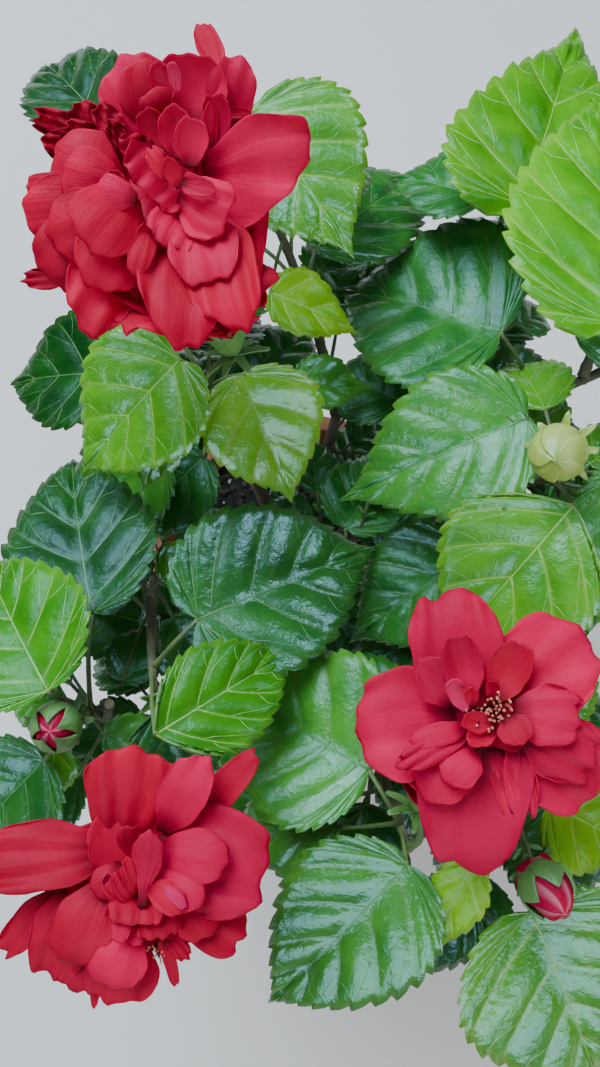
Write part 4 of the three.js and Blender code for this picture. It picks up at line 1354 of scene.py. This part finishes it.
# %% Build the leaves of each tone and their veins
HALVES_A_PIECE = 140
leaf_parts = {tone: [] for tone in LEAF_TONES}
vein_parts = {"deep": [], "pale": []}
for leaf in placed_leaves:
    tone = leaf["tone"]
    young = tone in YOUNG_TONES
    habit = leaf_habit(leaf, young)
    halves = {}
    for side in (1, -1):
        grid, veins, marked = half_leaf(leaf, side, habit)
        halves[side] = grid
        rows, columns = grid.shape[:2]
        faces = grid_faces(rows, columns, flip=side > 0)
        leaf_parts[tone].append((grid.reshape(-1, 3), faces, marked.reshape(-1, 3)))
    vein_parts["pale" if young else "deep"] += leaf_ridges(leaf, halves, veins)
foliage_nodes = [f"foliage_{name}" for name in MASSES]
for tone, parts in leaf_parts.items():
    for lot, first in enumerate(range(0, len(parts), HALVES_A_PIECE), 1):
        halves = parts[first:first + HALVES_A_PIECE]
        piece = piece_from(f"leaves_{tone}_{lot}", halves, [leaf_finish[tone], under_finish[tone]])
        apply_modifier(piece, "SOLIDIFY", thickness=BLADE * MM, offset=-1, material_offset=1,
                       material_offset_rim=0)
        settle(piece, foliage_nodes)
for tone, parts in vein_parts.items():
    piece = piece_from(f"veins_{tone}", parts, [vein_finish[tone]], weld=0)
    settle(piece)

# %% [markdown]
# ## Petals
# A petal is a fan of rows from its narrow foot to a broad rounded end. It rises from the tube of
# the flower and rolls back, its sides are cupped, faint folds run out from its foot, and its edge
# is softly waved. A double hibiscus has five or more such petals outside and a crowd of smaller
# ones inside. One function makes them all, from a few numbers each.

# %% Make one petal


def petal_frame(origin, axis, turn, opening):
    right = np.array([1.0, 0, 0])
    right = unit(right - axis * (right @ axis))
    back = np.cross(axis, right)
    out = right * math.cos(turn * DEG) + back * math.sin(turn * DEG)
    x = axis * math.cos(opening * DEG) + out * math.sin(opening * DEG)
    z = axis * math.sin(opening * DEG) - out * math.cos(opening * DEG)
    return {"origin": np.array(origin, float), "x": x, "y": np.cross(z, x), "z": z}


def petal_profile(u, bend, curl):
    """How far a petal of length one has run and risen at each share u, and its slope there."""
    slope = (bend * u + curl * np.clip((u - 0.6) / 0.4, 0, 1) ** 2) * DEG
    middle = (slope[1:] + slope[:-1]) / 2
    step = np.diff(u)
    run = np.concatenate([[0], np.cumsum(np.cos(middle) * step)])
    rise = np.concatenate([[0], np.cumsum(np.sin(middle) * step)])
    return run, rise, slope


def petal(place, length, width, bend, cup=0.15, ruffle=0.03, waves=1.0, fold=0.006, curl=-25,
          twist=0.0, rows=26, columns=24, foot=0.24, late=1.2, corner=0.42, lean=0.0, crumple=0.0):
    u = np.linspace(0, 1, rows + 1)[:, None]
    v = np.sin(np.linspace(-90, 90, columns + 1) * DEG)[None]
    phase = look.uniform(0, 1, 5)
    notch = 0.030 * np.sin(2 * np.pi * (0.8 * v + phase[3]))
    notch = notch + 0.018 * np.sin(2 * np.pi * (1.9 * v + phase[4]))
    reach = 1 + lean * v - corner * (1 - np.sqrt(np.maximum(0, 1 - np.abs(v) ** 2.6))) + notch * u ** 3
    half = width / 2 * (foot + (1 - foot) * np.sin(np.minimum(1, u / 0.8) * 90 * DEG) ** late)
    half = half * (1 + 0.05 * np.sin(2 * np.pi * (1.3 * u + phase[2])) * np.sign(v))
    share = reach * u
    steps = np.linspace(0, 1.2, 49)
    run, rise, slope = petal_profile(steps, bend, curl)
    run_at = np.interp(share, steps, run) * length
    rise_at = np.interp(share, steps, rise) * length
    tilt = np.interp(share, steps, slope)
    edge = np.maximum(u ** 2.4, np.abs(v) ** 4 * u)
    lift = cup * half * v ** 2
    lift = lift + ruffle * length * edge * (
        np.sin(2 * np.pi * (waves * (v + 0.5 * u * np.sign(v) * np.abs(v) ** 2) + phase[0]))
        + 0.45 * np.sin(2 * np.pi * (2.3 * waves * v + phase[1])) * edge)
    lift = lift + fold * length * np.sin(np.pi * u) ** 0.7 * np.cos(2 * np.pi * (1.7 * v + phase[2]))
    lift = lift + crumple * length * u * np.sin(2 * np.pi * (2.4 * u + 0.8 * v + phase[4]))
    roll = (twist * u) * DEG
    side = half * v * np.cos(roll)
    lift = lift + half * v * np.sin(roll)
    points = (place["origin"] + (run_at - lift * np.sin(tilt))[..., None] * place["x"]
              + (rise_at + lift * np.cos(tilt))[..., None] * place["z"] + side[..., None] * place["y"])
    marks = np.stack([u + 0 * v, v + 0 * u, phase[0] + 0 * u * v], axis=2)
    return points.reshape(-1, 3), grid_faces(rows + 1, columns + 1, flip=True), marks.reshape(-1, 3)


def petal_between(start, end, facing, width, bend, curl=-20, **habit):
    """A petal whose foot and tip lie at two given points, its inner side turned to facing."""
    run, rise, _ = petal_profile(np.linspace(0, 1, 41), bend, curl)
    turn = math.atan2(rise[-1], run[-1])
    way = unit(end - start)
    normal = unit(facing - way * (facing @ way))
    x = way * math.cos(turn) - normal * math.sin(turn)
    z = normal * math.cos(turn) + way * math.sin(turn)
    place = {"origin": start, "x": x, "y": np.cross(z, x), "z": z}
    length = np.linalg.norm(end - start) / math.hypot(run[-1], rise[-1])
    return petal(place, length, width, bend, curl=curl, **habit)


sample_petal = petal(petal_frame([0, 0, 0], np.array([0, 0, 1.0]), 0, 20), 90, 60, -50)
print("one petal has", len(sample_petal[1]), "faces")

# %% [markdown]
# Under each bloom lies a ring of short petals, listed as turn, length, width, opening and bend, as
# petals are in the frame. They close the flower from the side and from below. What is seen from
# above is different in every flower, so it is listed petal by petal from the photograph: the
# pixels where the foot and the tip are seen, how far above the flower's foot each of them lies,
# the width, and the way the petal is shaped. The camera is known, so a pixel and a height give a
# place.

# %% Describe the petals beneath, and the ways to shape a petal
UNDER_PETALS = {
    "back_left": [
        (24, 42, 40, 12, -70), (-50, 32, 40, 12, -70), (-104, 36, 44, 12, -70),
        (-156, 62, 50, 16, -66), (166, 74, 50, 22, -44), (118, 80, 46, 16, -26),
        (62, 74, 40, 22, -34),
    ],
    "front": [
        (112, 58, 50, 16, -52), (42, 66, 54, 16, -48), (-24, 46, 44, 18, -60),
        (-92, 24, 34, 30, -60), (-168, 46, 44, 18, -66),
    ],
    "front_left": [
        (86, 54, 60, 14, -50), (6, 56, 56, 14, -54), (-44, 52, 52, 14, -60),
        (-104, 50, 56, 14, -60), (-154, 56, 48, 16, -50), (168, 58, 40, 16, -44),
    ],
}
PETAL_KINDS = {
    "dome": {"bend": -62, "curl": -34, "cup": -0.22, "ruffle": 0.012, "foot": 0.35},
    "bowl": {"bend": 46, "curl": 12, "cup": 0.42, "ruffle": 0.014, "foot": 0.35},
    "open": {"bend": -18, "curl": -18, "cup": 0.10, "ruffle": 0.030, "foot": 0.25},
    "outer": {"bend": -34, "curl": -26, "cup": 0.04, "ruffle": 0.032, "foot": 0.35, "fold": 0.008},
    "frill": {"bend": -30, "curl": -26, "cup": -0.06, "ruffle": 0.070, "waves": 1.1, "foot": 0.4},
    "club": {"bend": 26, "curl": -20, "cup": -0.20, "ruffle": 0.010, "foot": 0.30, "late": 4.0,
             "corner": 0.28},
    "shield": {"bend": -34, "curl": -26, "cup": 0.04, "ruffle": 0.026, "foot": 0.65, "fold": 0.008,
               "corner": 0.95, "late": 0.8},
    "crumpled": {"bend": 10, "curl": 40, "cup": 0.10, "ruffle": 0.050, "waves": 1.4, "foot": 0.5,
                 "fold": 0.02, "crumple": 0.075},
    "creased": {"bend": -30, "curl": -20, "cup": 0.02, "ruffle": 0.038, "foot": 0.45, "waves": 1.3,
                "fold": 0.024, "corner": 0.25},
    "point": {"bend": -12, "curl": -10, "cup": 0.20, "ruffle": 0.010, "foot": 0.45, "corner": 0.80},
    "ridge": {"bend": -20, "curl": -30, "cup": 0.02, "ruffle": 0.110, "waves": 1.4, "foot": 0.7,
              "fold": 0.03, "corner": 0.25},
}

# %% Describe the petals seen on the back left bloom
SEEN_PETALS = {}
SEEN_PETALS["back_left"] = [
    ("floor left", (190, 210), (126, 154), 30, 40, 40, "open", "crimson"),
    ("floor right", (168, 196), (214, 150), 32, 38, 34, "open", "crimson"),
    ("floor low", (180, 180), (176, 250), 32, 38, 34, "open", "crimson"),
    ("floor upper", (162, 176), (100, 140), 32, 40, 34, "open", "crimson"),
    ("plain right", (203, 177), (303, 168), 44, 56, 42, "outer", "rose", 0.30),
    ("lower right", (204, 212), (236, 328), 38, 44, 32, "outer", "crimson", 0.05),
    ("lower left", (182, 226), (175, 344), 38, 44, 34, "outer", "crimson", 0.12),
    ("left low", (128, 236), (80, 326), 30, 36, 30, "outer", "crimson", 0.10),
    ("left small low", (72, 278), (24, 279), 26, 28, 9, "frill", "crimson"),
    ("left outer low", (122, 225), (42, 272), 36, 40, 32, "dome", "crimson"),
    ("left outer", (118, 205), (26, 220), 38, 40, 30, "dome", "crimson"),
    ("left knob", (90, 192), (27, 190), 42, 42, 15, "dome", "crimson"),
    ("left lower ring", (134, 212), (94, 288), 44, 46, 30, "dome", "crimson"),
    ("left middle ring", (130, 205), (54, 246), 46, 50, 30, "dome", "crimson"),
    ("left top", (122, 188), (54, 154), 44, 50, 32, "dome", "crimson"),
    ("left upper core", (126, 190), (62, 176), 50, 56, 25, "dome", "crimson"),
    ("left core", (132, 192), (88, 248), 54, 60, 30, "dome", "crimson"),
    ("left pink", (137, 200), (97, 188), 62, 64, 13, "dome", "rose"),
    ("left pink upper", (124, 192), (108, 172), 62, 66, 8, "bowl", "crimson"),
    ("crumpled first", (110, 146), (34, 116), 40, 46, 13, "crumpled", "withered"),
    ("crumpled second", (112, 140), (70, 109), 46, 52, 15, "crumpled", "withered"),
    ("crumpled third", (112, 152), (42, 142), 42, 44, 14, "crumpled", "withered"),
    ("crumpled fourth", (122, 138), (96, 106), 50, 56, 12, "crumpled", "withered"),
    ("crumpled fifth", (118, 150), (62, 128), 46, 54, 12, "crumpled", "withered"),
    ("crumpled sixth", (130, 150), (108, 122), 50, 60, 8, "crumpled", "withered"),
    ("top left lobe", (166, 142), (118, 62), 42, 60, 33, "open", "rose"),
    ("top left flap", (150, 130), (142, 60), 46, 62, 22, "open", "crimson"),
    # The bowl takes the lighter rose finish as painted light against the shade inside it.
    ("bowl", (192, 132), (188, 52), 42, 60, 31, "bowl", "rose"),
    ("bowl rim left", (166, 110), (158, 62), 56, 68, 11, "bowl", "rose"),
    ("bowl highlight", (178, 92), (171, 62), 60, 70, 5, "bowl", "pale"),
    ("right fold", (222, 128), (240, 58), 38, 56, 21, "outer", "rose"),
    ("right fold back", (222, 118), (244, 82), 36, 44, 12, "dome", "crimson"),
    ("tongue", (226, 84), (200, 24), 46, 50, 11, "club", "crimson"),
    ("small point", (222, 112), (251, 113), 44, 44, 5, "point", "crimson"),
    ("above the pair", (168, 122), (150, 90), 50, 62, 16, "dome", "crimson"),
    ("left of the pair", (166, 152), (142, 110), 52, 62, 12, "bowl", "crimson"),
    ("left in the pair", (178, 160), (173, 105), 54, 66, 14, "bowl", "rose"),
    ("right in the pair", (190, 168), (191, 117), 56, 68, 14, "bowl", "rose"),
    ("standing right", (210, 160), (220, 94), 48, 66, 12, "bowl", "rose"),
    ("standing right edge", (214, 150), (208, 95), 50, 66, 6, "bowl", "crimson"),
    ("ridge top", (170, 162), (142, 190), 54, 60, 30, "ridge", "rose"),
    ("ridge left", (150, 150), (124, 160), 54, 60, 17, "ridge", "crimson"),
    ("ridge middle", (180, 194), (228, 220), 53, 57, 25, "creased", "rose"),
    ("ridge low", (184, 208), (166, 246), 48, 52, 22, "ridge", "rose"),
    ("ridge lobe", (196, 212), (211, 283), 46, 50, 29, "open", "rose"),
    ("scarlet fold", (170, 180), (150, 148), 62, 68, 8, "frill", "crimson"),
    ("second scarlet fold", (180, 188), (166, 158), 62, 70, 7, "bowl", "crimson"),
    ("pointed", (182, 182), (216, 190), 64, 64, 8, "point", "rose"),
    ("rolled low", (150, 226), (134, 277), 50, 50, 10, "dome", "crimson"),
    ("rolled low behind", (164, 222), (138, 238), 52, 54, 8, "bowl", "crimson"),
]

# %% Describe the petals seen on the two front blooms
SEEN_PETALS["front"] = [
    ("floor", (474, 724), (514, 704), 42, 48, 34, "open", "crimson"),
    ("plain bottom", (474, 746), (470, 870), 38, 24, 50, "shield", "rose"),
    ("plain left", (456, 716), (358, 730), 36, 34, 48, "outer", "rose"),
    ("plain top", (464, 712), (449, 592), 36, 44, 41, "outer", "rose"),
    ("plain right upper", (492, 704), (586, 638), 40, 46, 44, "outer", "rose"),
    ("plain right lower", (516, 735), (598, 788), 38, 36, 42, "outer", "rose"),
    ("top inner", (467, 706), (459, 634), 50, 62, 17, "bowl", "rose"),
    ("top left inner", (452, 707), (424, 658), 44, 52, 18, "open", "rose"),
    ("small standing", (466, 711), (451, 680), 54, 64, 8, "bowl", "pale"),
    ("right upper inner", (492, 702), (523, 643), 48, 56, 18, "bowl", "crimson"),
    ("first spur", (474, 706), (469, 688), 56, 64, 6, "bowl", "crimson"),
    ("second spur", (492, 700), (493, 681), 56, 64, 6, "bowl", "crimson"),
    ("right inner", (513, 713), (580, 718), 50, 54, 26, "frill", "rose"),
    ("right low inner", (523, 730), (592, 766), 46, 46, 28, "frill", "rose"),
    ("red left", (496, 722), (462, 722), 54, 58, 9, "bowl", "crimson"),
    ("red lower left", (498, 730), (467, 741), 52, 56, 9, "bowl", "crimson"),
    ("red middle", (508, 714), (522, 744), 54, 58, 15, "open", "crimson"),
    ("twisted right", (514, 738), (526, 817), 42, 38, 14, "frill", "rose"),
    ("twisted left", (491, 748), (518, 820), 40, 36, 10, "frill", "rose"),
    ("heart shaped", (476, 748), (447, 783), 46, 50, 18, "dome", "rose"),
    ("low left", (474, 750), (418, 790), 38, 40, 27, "dome", "rose"),
    ("rolled", (469, 730), (399, 766), 46, 50, 12, "frill", "rose"),
    ("rolled behind", (468, 726), (410, 744), 48, 48, 10, "dome", "rose"),
]
SEEN_PETALS["front_left"] = [
    ("floor top", (136, 880), (136, 800), 34, 42, 44, "open", "crimson"),
    ("floor right", (130, 880), (215, 885), 34, 40, 44, "open", "crimson"),
    ("floor left", (150, 880), (70, 900), 34, 38, 44, "open", "crimson"),
    ("floor low", (140, 870), (130, 950), 34, 38, 40, "open", "crimson"),
    ("pointed top", (182, 830), (257, 752), 36, 44, 17, "point", "crimson"),
    ("plain top", (124, 842), (140, 750), 38, 54, 43, "creased", "crimson"),
    ("second top", (162, 832), (204, 757), 44, 56, 22, "open", "rose"),
    ("plain left", (116, 850), (-26, 862), 38, 44, 30, "outer", "crimson"),
    ("narrow left", (58, 888), (3, 952), 30, 26, 15, "open", "crimson"),
    ("right outer", (152, 850), (267, 872), 40, 44, 47, "outer", "rose"),
    ("right outer low", (165, 886), (244, 934), 34, 38, 28, "outer", "crimson", -0.10),
    ("right inner layer", (158, 852), (228, 861), 50, 58, 23, "dome", "rose"),
    ("right low", (162, 890), (215, 930), 44, 48, 21, "dome", "crimson"),
    ("right round", (152, 880), (205, 896), 52, 60, 20, "dome", "rose"),
    ("pink bowl", (148, 884), (185, 910), 58, 64, 12, "dome", "crimson"),
    ("highlight", (164, 886), (185, 908), 62, 65, 5, "dome", "pale"),
    ("scarlet outer", (80, 880), (50, 976), 32, 32, 28, "outer", "crimson"),
    ("scarlet left", (108, 880), (64, 962), 44, 46, 26, "dome", "crimson"),
    ("scarlet middle", (112, 890), (88, 955), 46, 46, 18, "dome", "crimson"),
    ("bottom wide", (128, 930), (114, 1002), 32, 32, 34, "outer", "crimson"),
    ("bottom left", (100, 930), (74, 990), 30, 30, 22, "outer", "crimson"),
    ("bottom round", (134, 925), (103, 984), 44, 46, 27, "dome", "rose"),
    ("bottom point", (95, 985), (94, 1008), 30, 28, 4, "point", "crimson"),
    ("standing", (142, 908), (150, 832), 58, 72, 13, "club", "rose"),
    ("standing behind", (134, 868), (130, 826), 50, 62, 12, "club", "crimson"),
    ("ruffle right", (140, 895), (126, 858), 54, 66, 9, "frill", "crimson"),
    ("ruffle middle", (136, 902), (116, 872), 52, 62, 10, "frill", "crimson"),
    ("ruffle left", (130, 908), (108, 880), 50, 58, 10, "frill", "crimson"),
    # A painted highlight: a small pale petal where light catches the ruffles.
    ("left pale edge", (112, 900), (106, 874), 50, 58, 4, "bowl", "pale"),
    ("collar", (136, 898), (132, 925), 54, 60, 24, "ridge", "crimson"),
    ("collar right", (158, 905), (162, 938), 50, 54, 20, "ridge", "crimson"),
    ("oval low", (124, 908), (119, 943), 54, 57, 8, "dome", "rose"),
    ("small low", (136, 922), (137, 946), 52, 55, 6, "bowl", "rose"),
    ("tassel", (163, 934), (176, 986), 44, 36, 6, "point", "crimson"),
    ("tassel side", (168, 934), (188, 958), 44, 42, 8, "frill", "crimson"),
    ("middle left", (122, 864), (96, 896), 50, 52, 14, "dome", "crimson"),
]
for name, petals in SEEN_PETALS.items():
    print(name, "shows", len(petals), "petals over", len(UNDER_PETALS[name]), "beneath")

# %% Find the place that is seen at a pixel
PHOTO_MIDDLE = (300, 533.5)


def seen_at(pixel, height):
    across = (pixel[0] - PHOTO_MIDDLE[0]) / FOCAL_PIXELS
    up = (PHOTO_MIDDLE[1] - pixel[1]) / FOCAL_PIXELS
    tilt = CAMERA_TILT * DEG
    ray = np.array([across, math.sin(tilt) + up * math.cos(tilt), -math.cos(tilt) + up * math.sin(tilt)])
    camera_place = np.array(CAMERA_PLACE) / MM
    return camera_place + ray * (height - camera_place[2]) / ray[2]


# %% Grow the blooms
HEART_PETALS = 12
PETAL_SHEET = 0.45


def grow_bloom(name):
    axis = unit(BLOOM_FACING[name])
    origin = flower_stalks[name][-1] + 8 * axis
    main = "rose" if name == "front" else "crimson"
    made = {"crimson": [], "rose": [], "pale": [], "withered": []}
    for turn, length, width, opening, bend in UNDER_PETALS[name]:
        place = petal_frame(origin, axis, turn, opening)
        made[main].append(petal(place, length, width, bend, ruffle=0.030, waves=look.uniform(0.8, 1.3)))
    for _, foot, tip, foot_height, tip_height, width, kind, tone, *lean in SEEN_PETALS[name]:
        start = seen_at(foot, origin[2] + foot_height)
        end = seen_at(tip, origin[2] + tip_height)
        facing = unit(np.array(CAMERA_PLACE) / MM - start)
        fine = 24 if width > 26 or kind == "crumpled" else 18
        made[tone].append(petal_between(start, end, facing, width, rows=fine, columns=fine - 2,
                                        lean=lean[0] if lean else 0, **PETAL_KINDS[kind]))
    for k in range(HEART_PETALS):
        share = k / HEART_PETALS
        place = petal_frame(origin + 6 * axis, axis, k * GOLDEN_TURN, 8 + 44 * share)
        made[main].append(petal(place, 36 - 8 * share, 22 + 8 * share, look.uniform(-46, -10), rows=14,
                                columns=12, ruffle=0.05, foot=0.4))
    return made


for name in UNDER_PETALS:
    for tone, parts in grow_bloom(name).items():
        if parts:
            back = petal_finish["rose_back" if tone != "withered" else "withered"]
            piece = piece_from(f"bloom_{name}_{tone}", parts, [petal_finish[tone], back], weld=0)
            apply_modifier(piece, "SOLIDIFY", thickness=PETAL_SHEET * MM, offset=0, material_offset=1)
            settle(piece, [f"bloom_{name}"])

# %% [markdown]
# ## Stamens, calyx and bracts
# The stamens of a double flower are few: short red threads with orange heads that stand between
# the inner petals. Behind each bloom sits a green cup with five points, the calyx, and below it
# a ring of narrow bracts.

# %% Scatter the stamens
STAMENS = {
    "front": ((494, 711), 60, 7.5, 70),
    "front_left": ((157, 951), 50, 4, 18),
}
threads, heads = [], []
for name, (pixel, height, spread, count) in STAMENS.items():
    origin = flower_stalks[name][-1]
    middle = seen_at(pixel, origin[2] + height)
    towards = unit(np.array(CAMERA_PLACE) / MM - middle)
    for _ in range(count):
        foot = middle - 14 * towards + look.normal(0, 0.3, 3) * spread
        tip = middle + look.normal(0, 0.5, 3) * spread
        bow = (foot + tip) / 2 + look.normal(0, 1, 3)
        threads.append(tube(curve_at([foot, bow, tip], np.linspace(0, 1, 5)), [0.3] * 5, 5))
        spot = np.linspace(-1, 1, 6)
        ball = tip + np.outer(spot * 0.7, unit(look.normal(0, 1, 3)))
        heads.append(tube(ball, 0.65 * np.sqrt(np.maximum(0.04, 1 - spot ** 2)), 7))
settle(piece_from("stamen_threads", threads, [petal_finish["crimson"]], weld=0))
pollen_finish = finish("pollen", [(0.74, 0.13, 0.06), (0.86, 0.34, 0.17)], 200, 0.7)
settle(piece_from("stamen_heads", heads, [pollen_finish], weld=0))

# %% Make the calyces and their bracts
LOBE_TURNS = range(0, 360, 72)
CUP_RADII = [2.0, 7.0, 9.0, 9.5, 10.5]
CALYX_SHEET = 0.8


def lobe(foot, axis, turn, radii, height, arc, tip_out=0.0, twist=0.0, full=1.9, overlap=0.0, rows=12,
         columns=8):
    """A pointed lobe that wraps round the axis: one of the five parts of a calyx."""
    right = unit(np.cross(axis, [0.2, 1.0, 0.1]))
    back = np.cross(axis, right)
    u = np.linspace(0, 1, rows + 1)[:, None]
    v = np.linspace(-1, 1, columns + 1)[None]
    width = np.minimum(1, full * (1 - u) ** 0.75)
    angle = (turn + twist * u + arc * width * v) * DEG
    radius = np.interp(u, np.linspace(0, 1, len(radii)), radii) + tip_out * u ** 3
    radius = radius + 0.5 * np.exp(-((v / 0.18) ** 2)) + overlap * v
    points = (foot + (u * height)[..., None] * axis * np.ones_like(v)[..., None]
              + (radius * np.cos(angle))[..., None] * right + (radius * np.sin(angle))[..., None] * back)
    marks = np.stack([u + 0 * v, v + 0 * u, 0.5 + 0 * u * v], axis=2)
    return points.reshape(-1, 3), grid_faces(rows + 1, columns + 1), marks.reshape(-1, 3)


def bracts(foot, axis, count, length, width, opening):
    made = []
    for k in range(count):
        turn = 360 * k / count + look.uniform(-8, 8)
        place = petal_frame(foot, axis, turn, opening + look.uniform(-8, 8))
        made.append(petal(place, length * look.uniform(0.85, 1.15), width, -40, cup=0.3, ruffle=0,
                          fold=0, rows=8, columns=6, foot=0.6, curl=0, corner=0.8))
    return made


calyx_parts = []
for name, facing in BLOOM_FACING.items():
    axis = unit(facing)
    foot = flower_stalks[name][-1] - 3 * axis
    for turn in LOBE_TURNS:
        calyx_parts.append(lobe(foot, axis, turn, CUP_RADII, height=30, arc=38, tip_out=5))
    calyx_parts += bracts(foot - axis, axis, count=7, length=16, width=4.5, opening=74)
calyx = piece_from("calyces", calyx_parts, [green_finish["calyx"]], weld=0)
apply_modifier(calyx, "SOLIDIFY", thickness=CALYX_SHEET * MM, offset=0)
settle(calyx)

# %% [markdown]
# ## Buds
# Three buds are at three ages. The closed one is a pale ball of five twisted lobes. The next
# has opened its lobes to a star with the folded petals inside. The third pushes its red petals
# out of the cup, wound round each other. All three are the same lobes with other numbers.

# %% Make the three buds


def wound_petals(foot, axis, radius, start, height, turns, strands=5, rows=16, sides=40):
    """Petals folded round each other in a closed bud: a ridged, twisted dome."""
    right = unit(np.cross(axis, [0.2, 1.0, 0.1]))
    back = np.cross(axis, right)
    u = np.linspace(0, 1, rows + 1)[:, None]
    side = np.arange(sides)[None] / sides
    angle = 2 * np.pi * (side - turns * u / strands)
    ridge_turn = (side * strands) % 1 + 0 * u
    body = radius * np.sqrt(np.maximum(0.002, 1 - u ** 2.8))
    around = body * (0.84 + 0.24 * ridge_turn ** 1.5)
    points = (foot + (start + u * height)[..., None] * axis * np.ones_like(angle)[..., None]
              + (around * np.cos(angle))[..., None] * right + (around * np.sin(angle))[..., None] * back)
    faces = grid_faces(rows + 1, sides, round_about=True)
    last = rows * sides
    faces += [tuple(last + k for k in range(sides)), tuple(range(sides))[::-1]]
    marks = np.stack([0.5 + 0.5 * u + 0 * angle, ridge_turn, 0.5 + 0 * ridge_turn], axis=2)
    return points.reshape(-1, 3), faces, marks.reshape(-1, 3)


NOD = {"right": (-0.15, -0.55, -0.15), "front_right": (0.26, -0.05, 0), "front_left": (0, 0, 0)}
bud_lobes, bud_green, bud_red = [], [], []
for mass_name, mass in MASSES.items():
    for bud in mass.get("buds", []):
        foot, tip = np.array(bud["foot"], float), np.array(bud["tip"], float)
        axis = unit(unit(tip - foot) + NOD[mass_name])
        radius, length = bud["radius"], bud["length"]
        start = tip - 3 * axis
        ball = [2.2, 0.72 * radius, 0.95 * radius, radius, 0.92 * radius]
        if mass_name == "right":
            closed = [*ball, 0.66 * radius, 0.02 * radius]
            for turn in LOBE_TURNS:
                bud_lobes.append(lobe(start, axis, turn, closed, height=length - 6, arc=46, twist=70,
                                      full=8, overlap=0.9, rows=22, columns=14))
            bud_lobes += bracts(start, axis, count=8, length=21, width=5.4, opening=62)
        elif mass_name == "front_left":
            star = [*ball, 0.62 * radius, 0.34 * radius]
            for turn in LOBE_TURNS:
                bud_green.append(lobe(start, axis, turn, star, height=length, arc=42))
            bud_red.append(wound_petals(start, axis, 0.95 * radius, 4, height=length - 6, turns=0.3))
            bud_green += bracts(start, axis, count=7, length=17, width=5, opening=80)
        else:
            cup = [*ball, 0.74 * radius]
            for turn in LOBE_TURNS:
                bud_green.append(lobe(start, axis, turn, cup, height=0.72 * length, arc=40))
            bud_red.append(wound_petals(start, axis, 0.94 * radius, 4, height=0.80 * length, turns=0.8))
            bud_green += bracts(start, axis, count=6, length=15, width=4.8, opening=60)
for name, own_stems in stems.items():
    for i, stem in enumerate(own_stems):
        if i == 0 and name in flower_stalks:
            continue
        way = tangent_at(stem, 1)[0]
        bud_green += bracts(stem[-1] - way, way, count=5, length=13, width=4.2, opening=24)
for path in twigs:
    way = tangent_at(path, 1)[0]
    bud_green += bracts(path[-1] - way, way, count=3, length=9, width=2.8, opening=22)
for name, parts, material in (("bud_closed", bud_lobes, green_finish["bud"]),
                              ("bud_calyces", bud_green, green_finish["calyx"])):
    piece = piece_from(name, parts, [material], weld=0)
    apply_modifier(piece, "SOLIDIFY", thickness=CALYX_SHEET * MM, offset=0)
    settle(piece)
fold_finish = finish("bud_petal", [(0.34, 0.0006, 0.030), (0.50, 0.0020, 0.055)], 120, 0.5, [(500, 0.2)],
                     **PETAL_SKIN)
shade_by_mark(fold_finish, "Y", 0.0, 0.45, (0.72, 0.22, 0.30), 0.85)
settle(piece_from("bud_petals", bud_red, [fold_finish], weld=0))
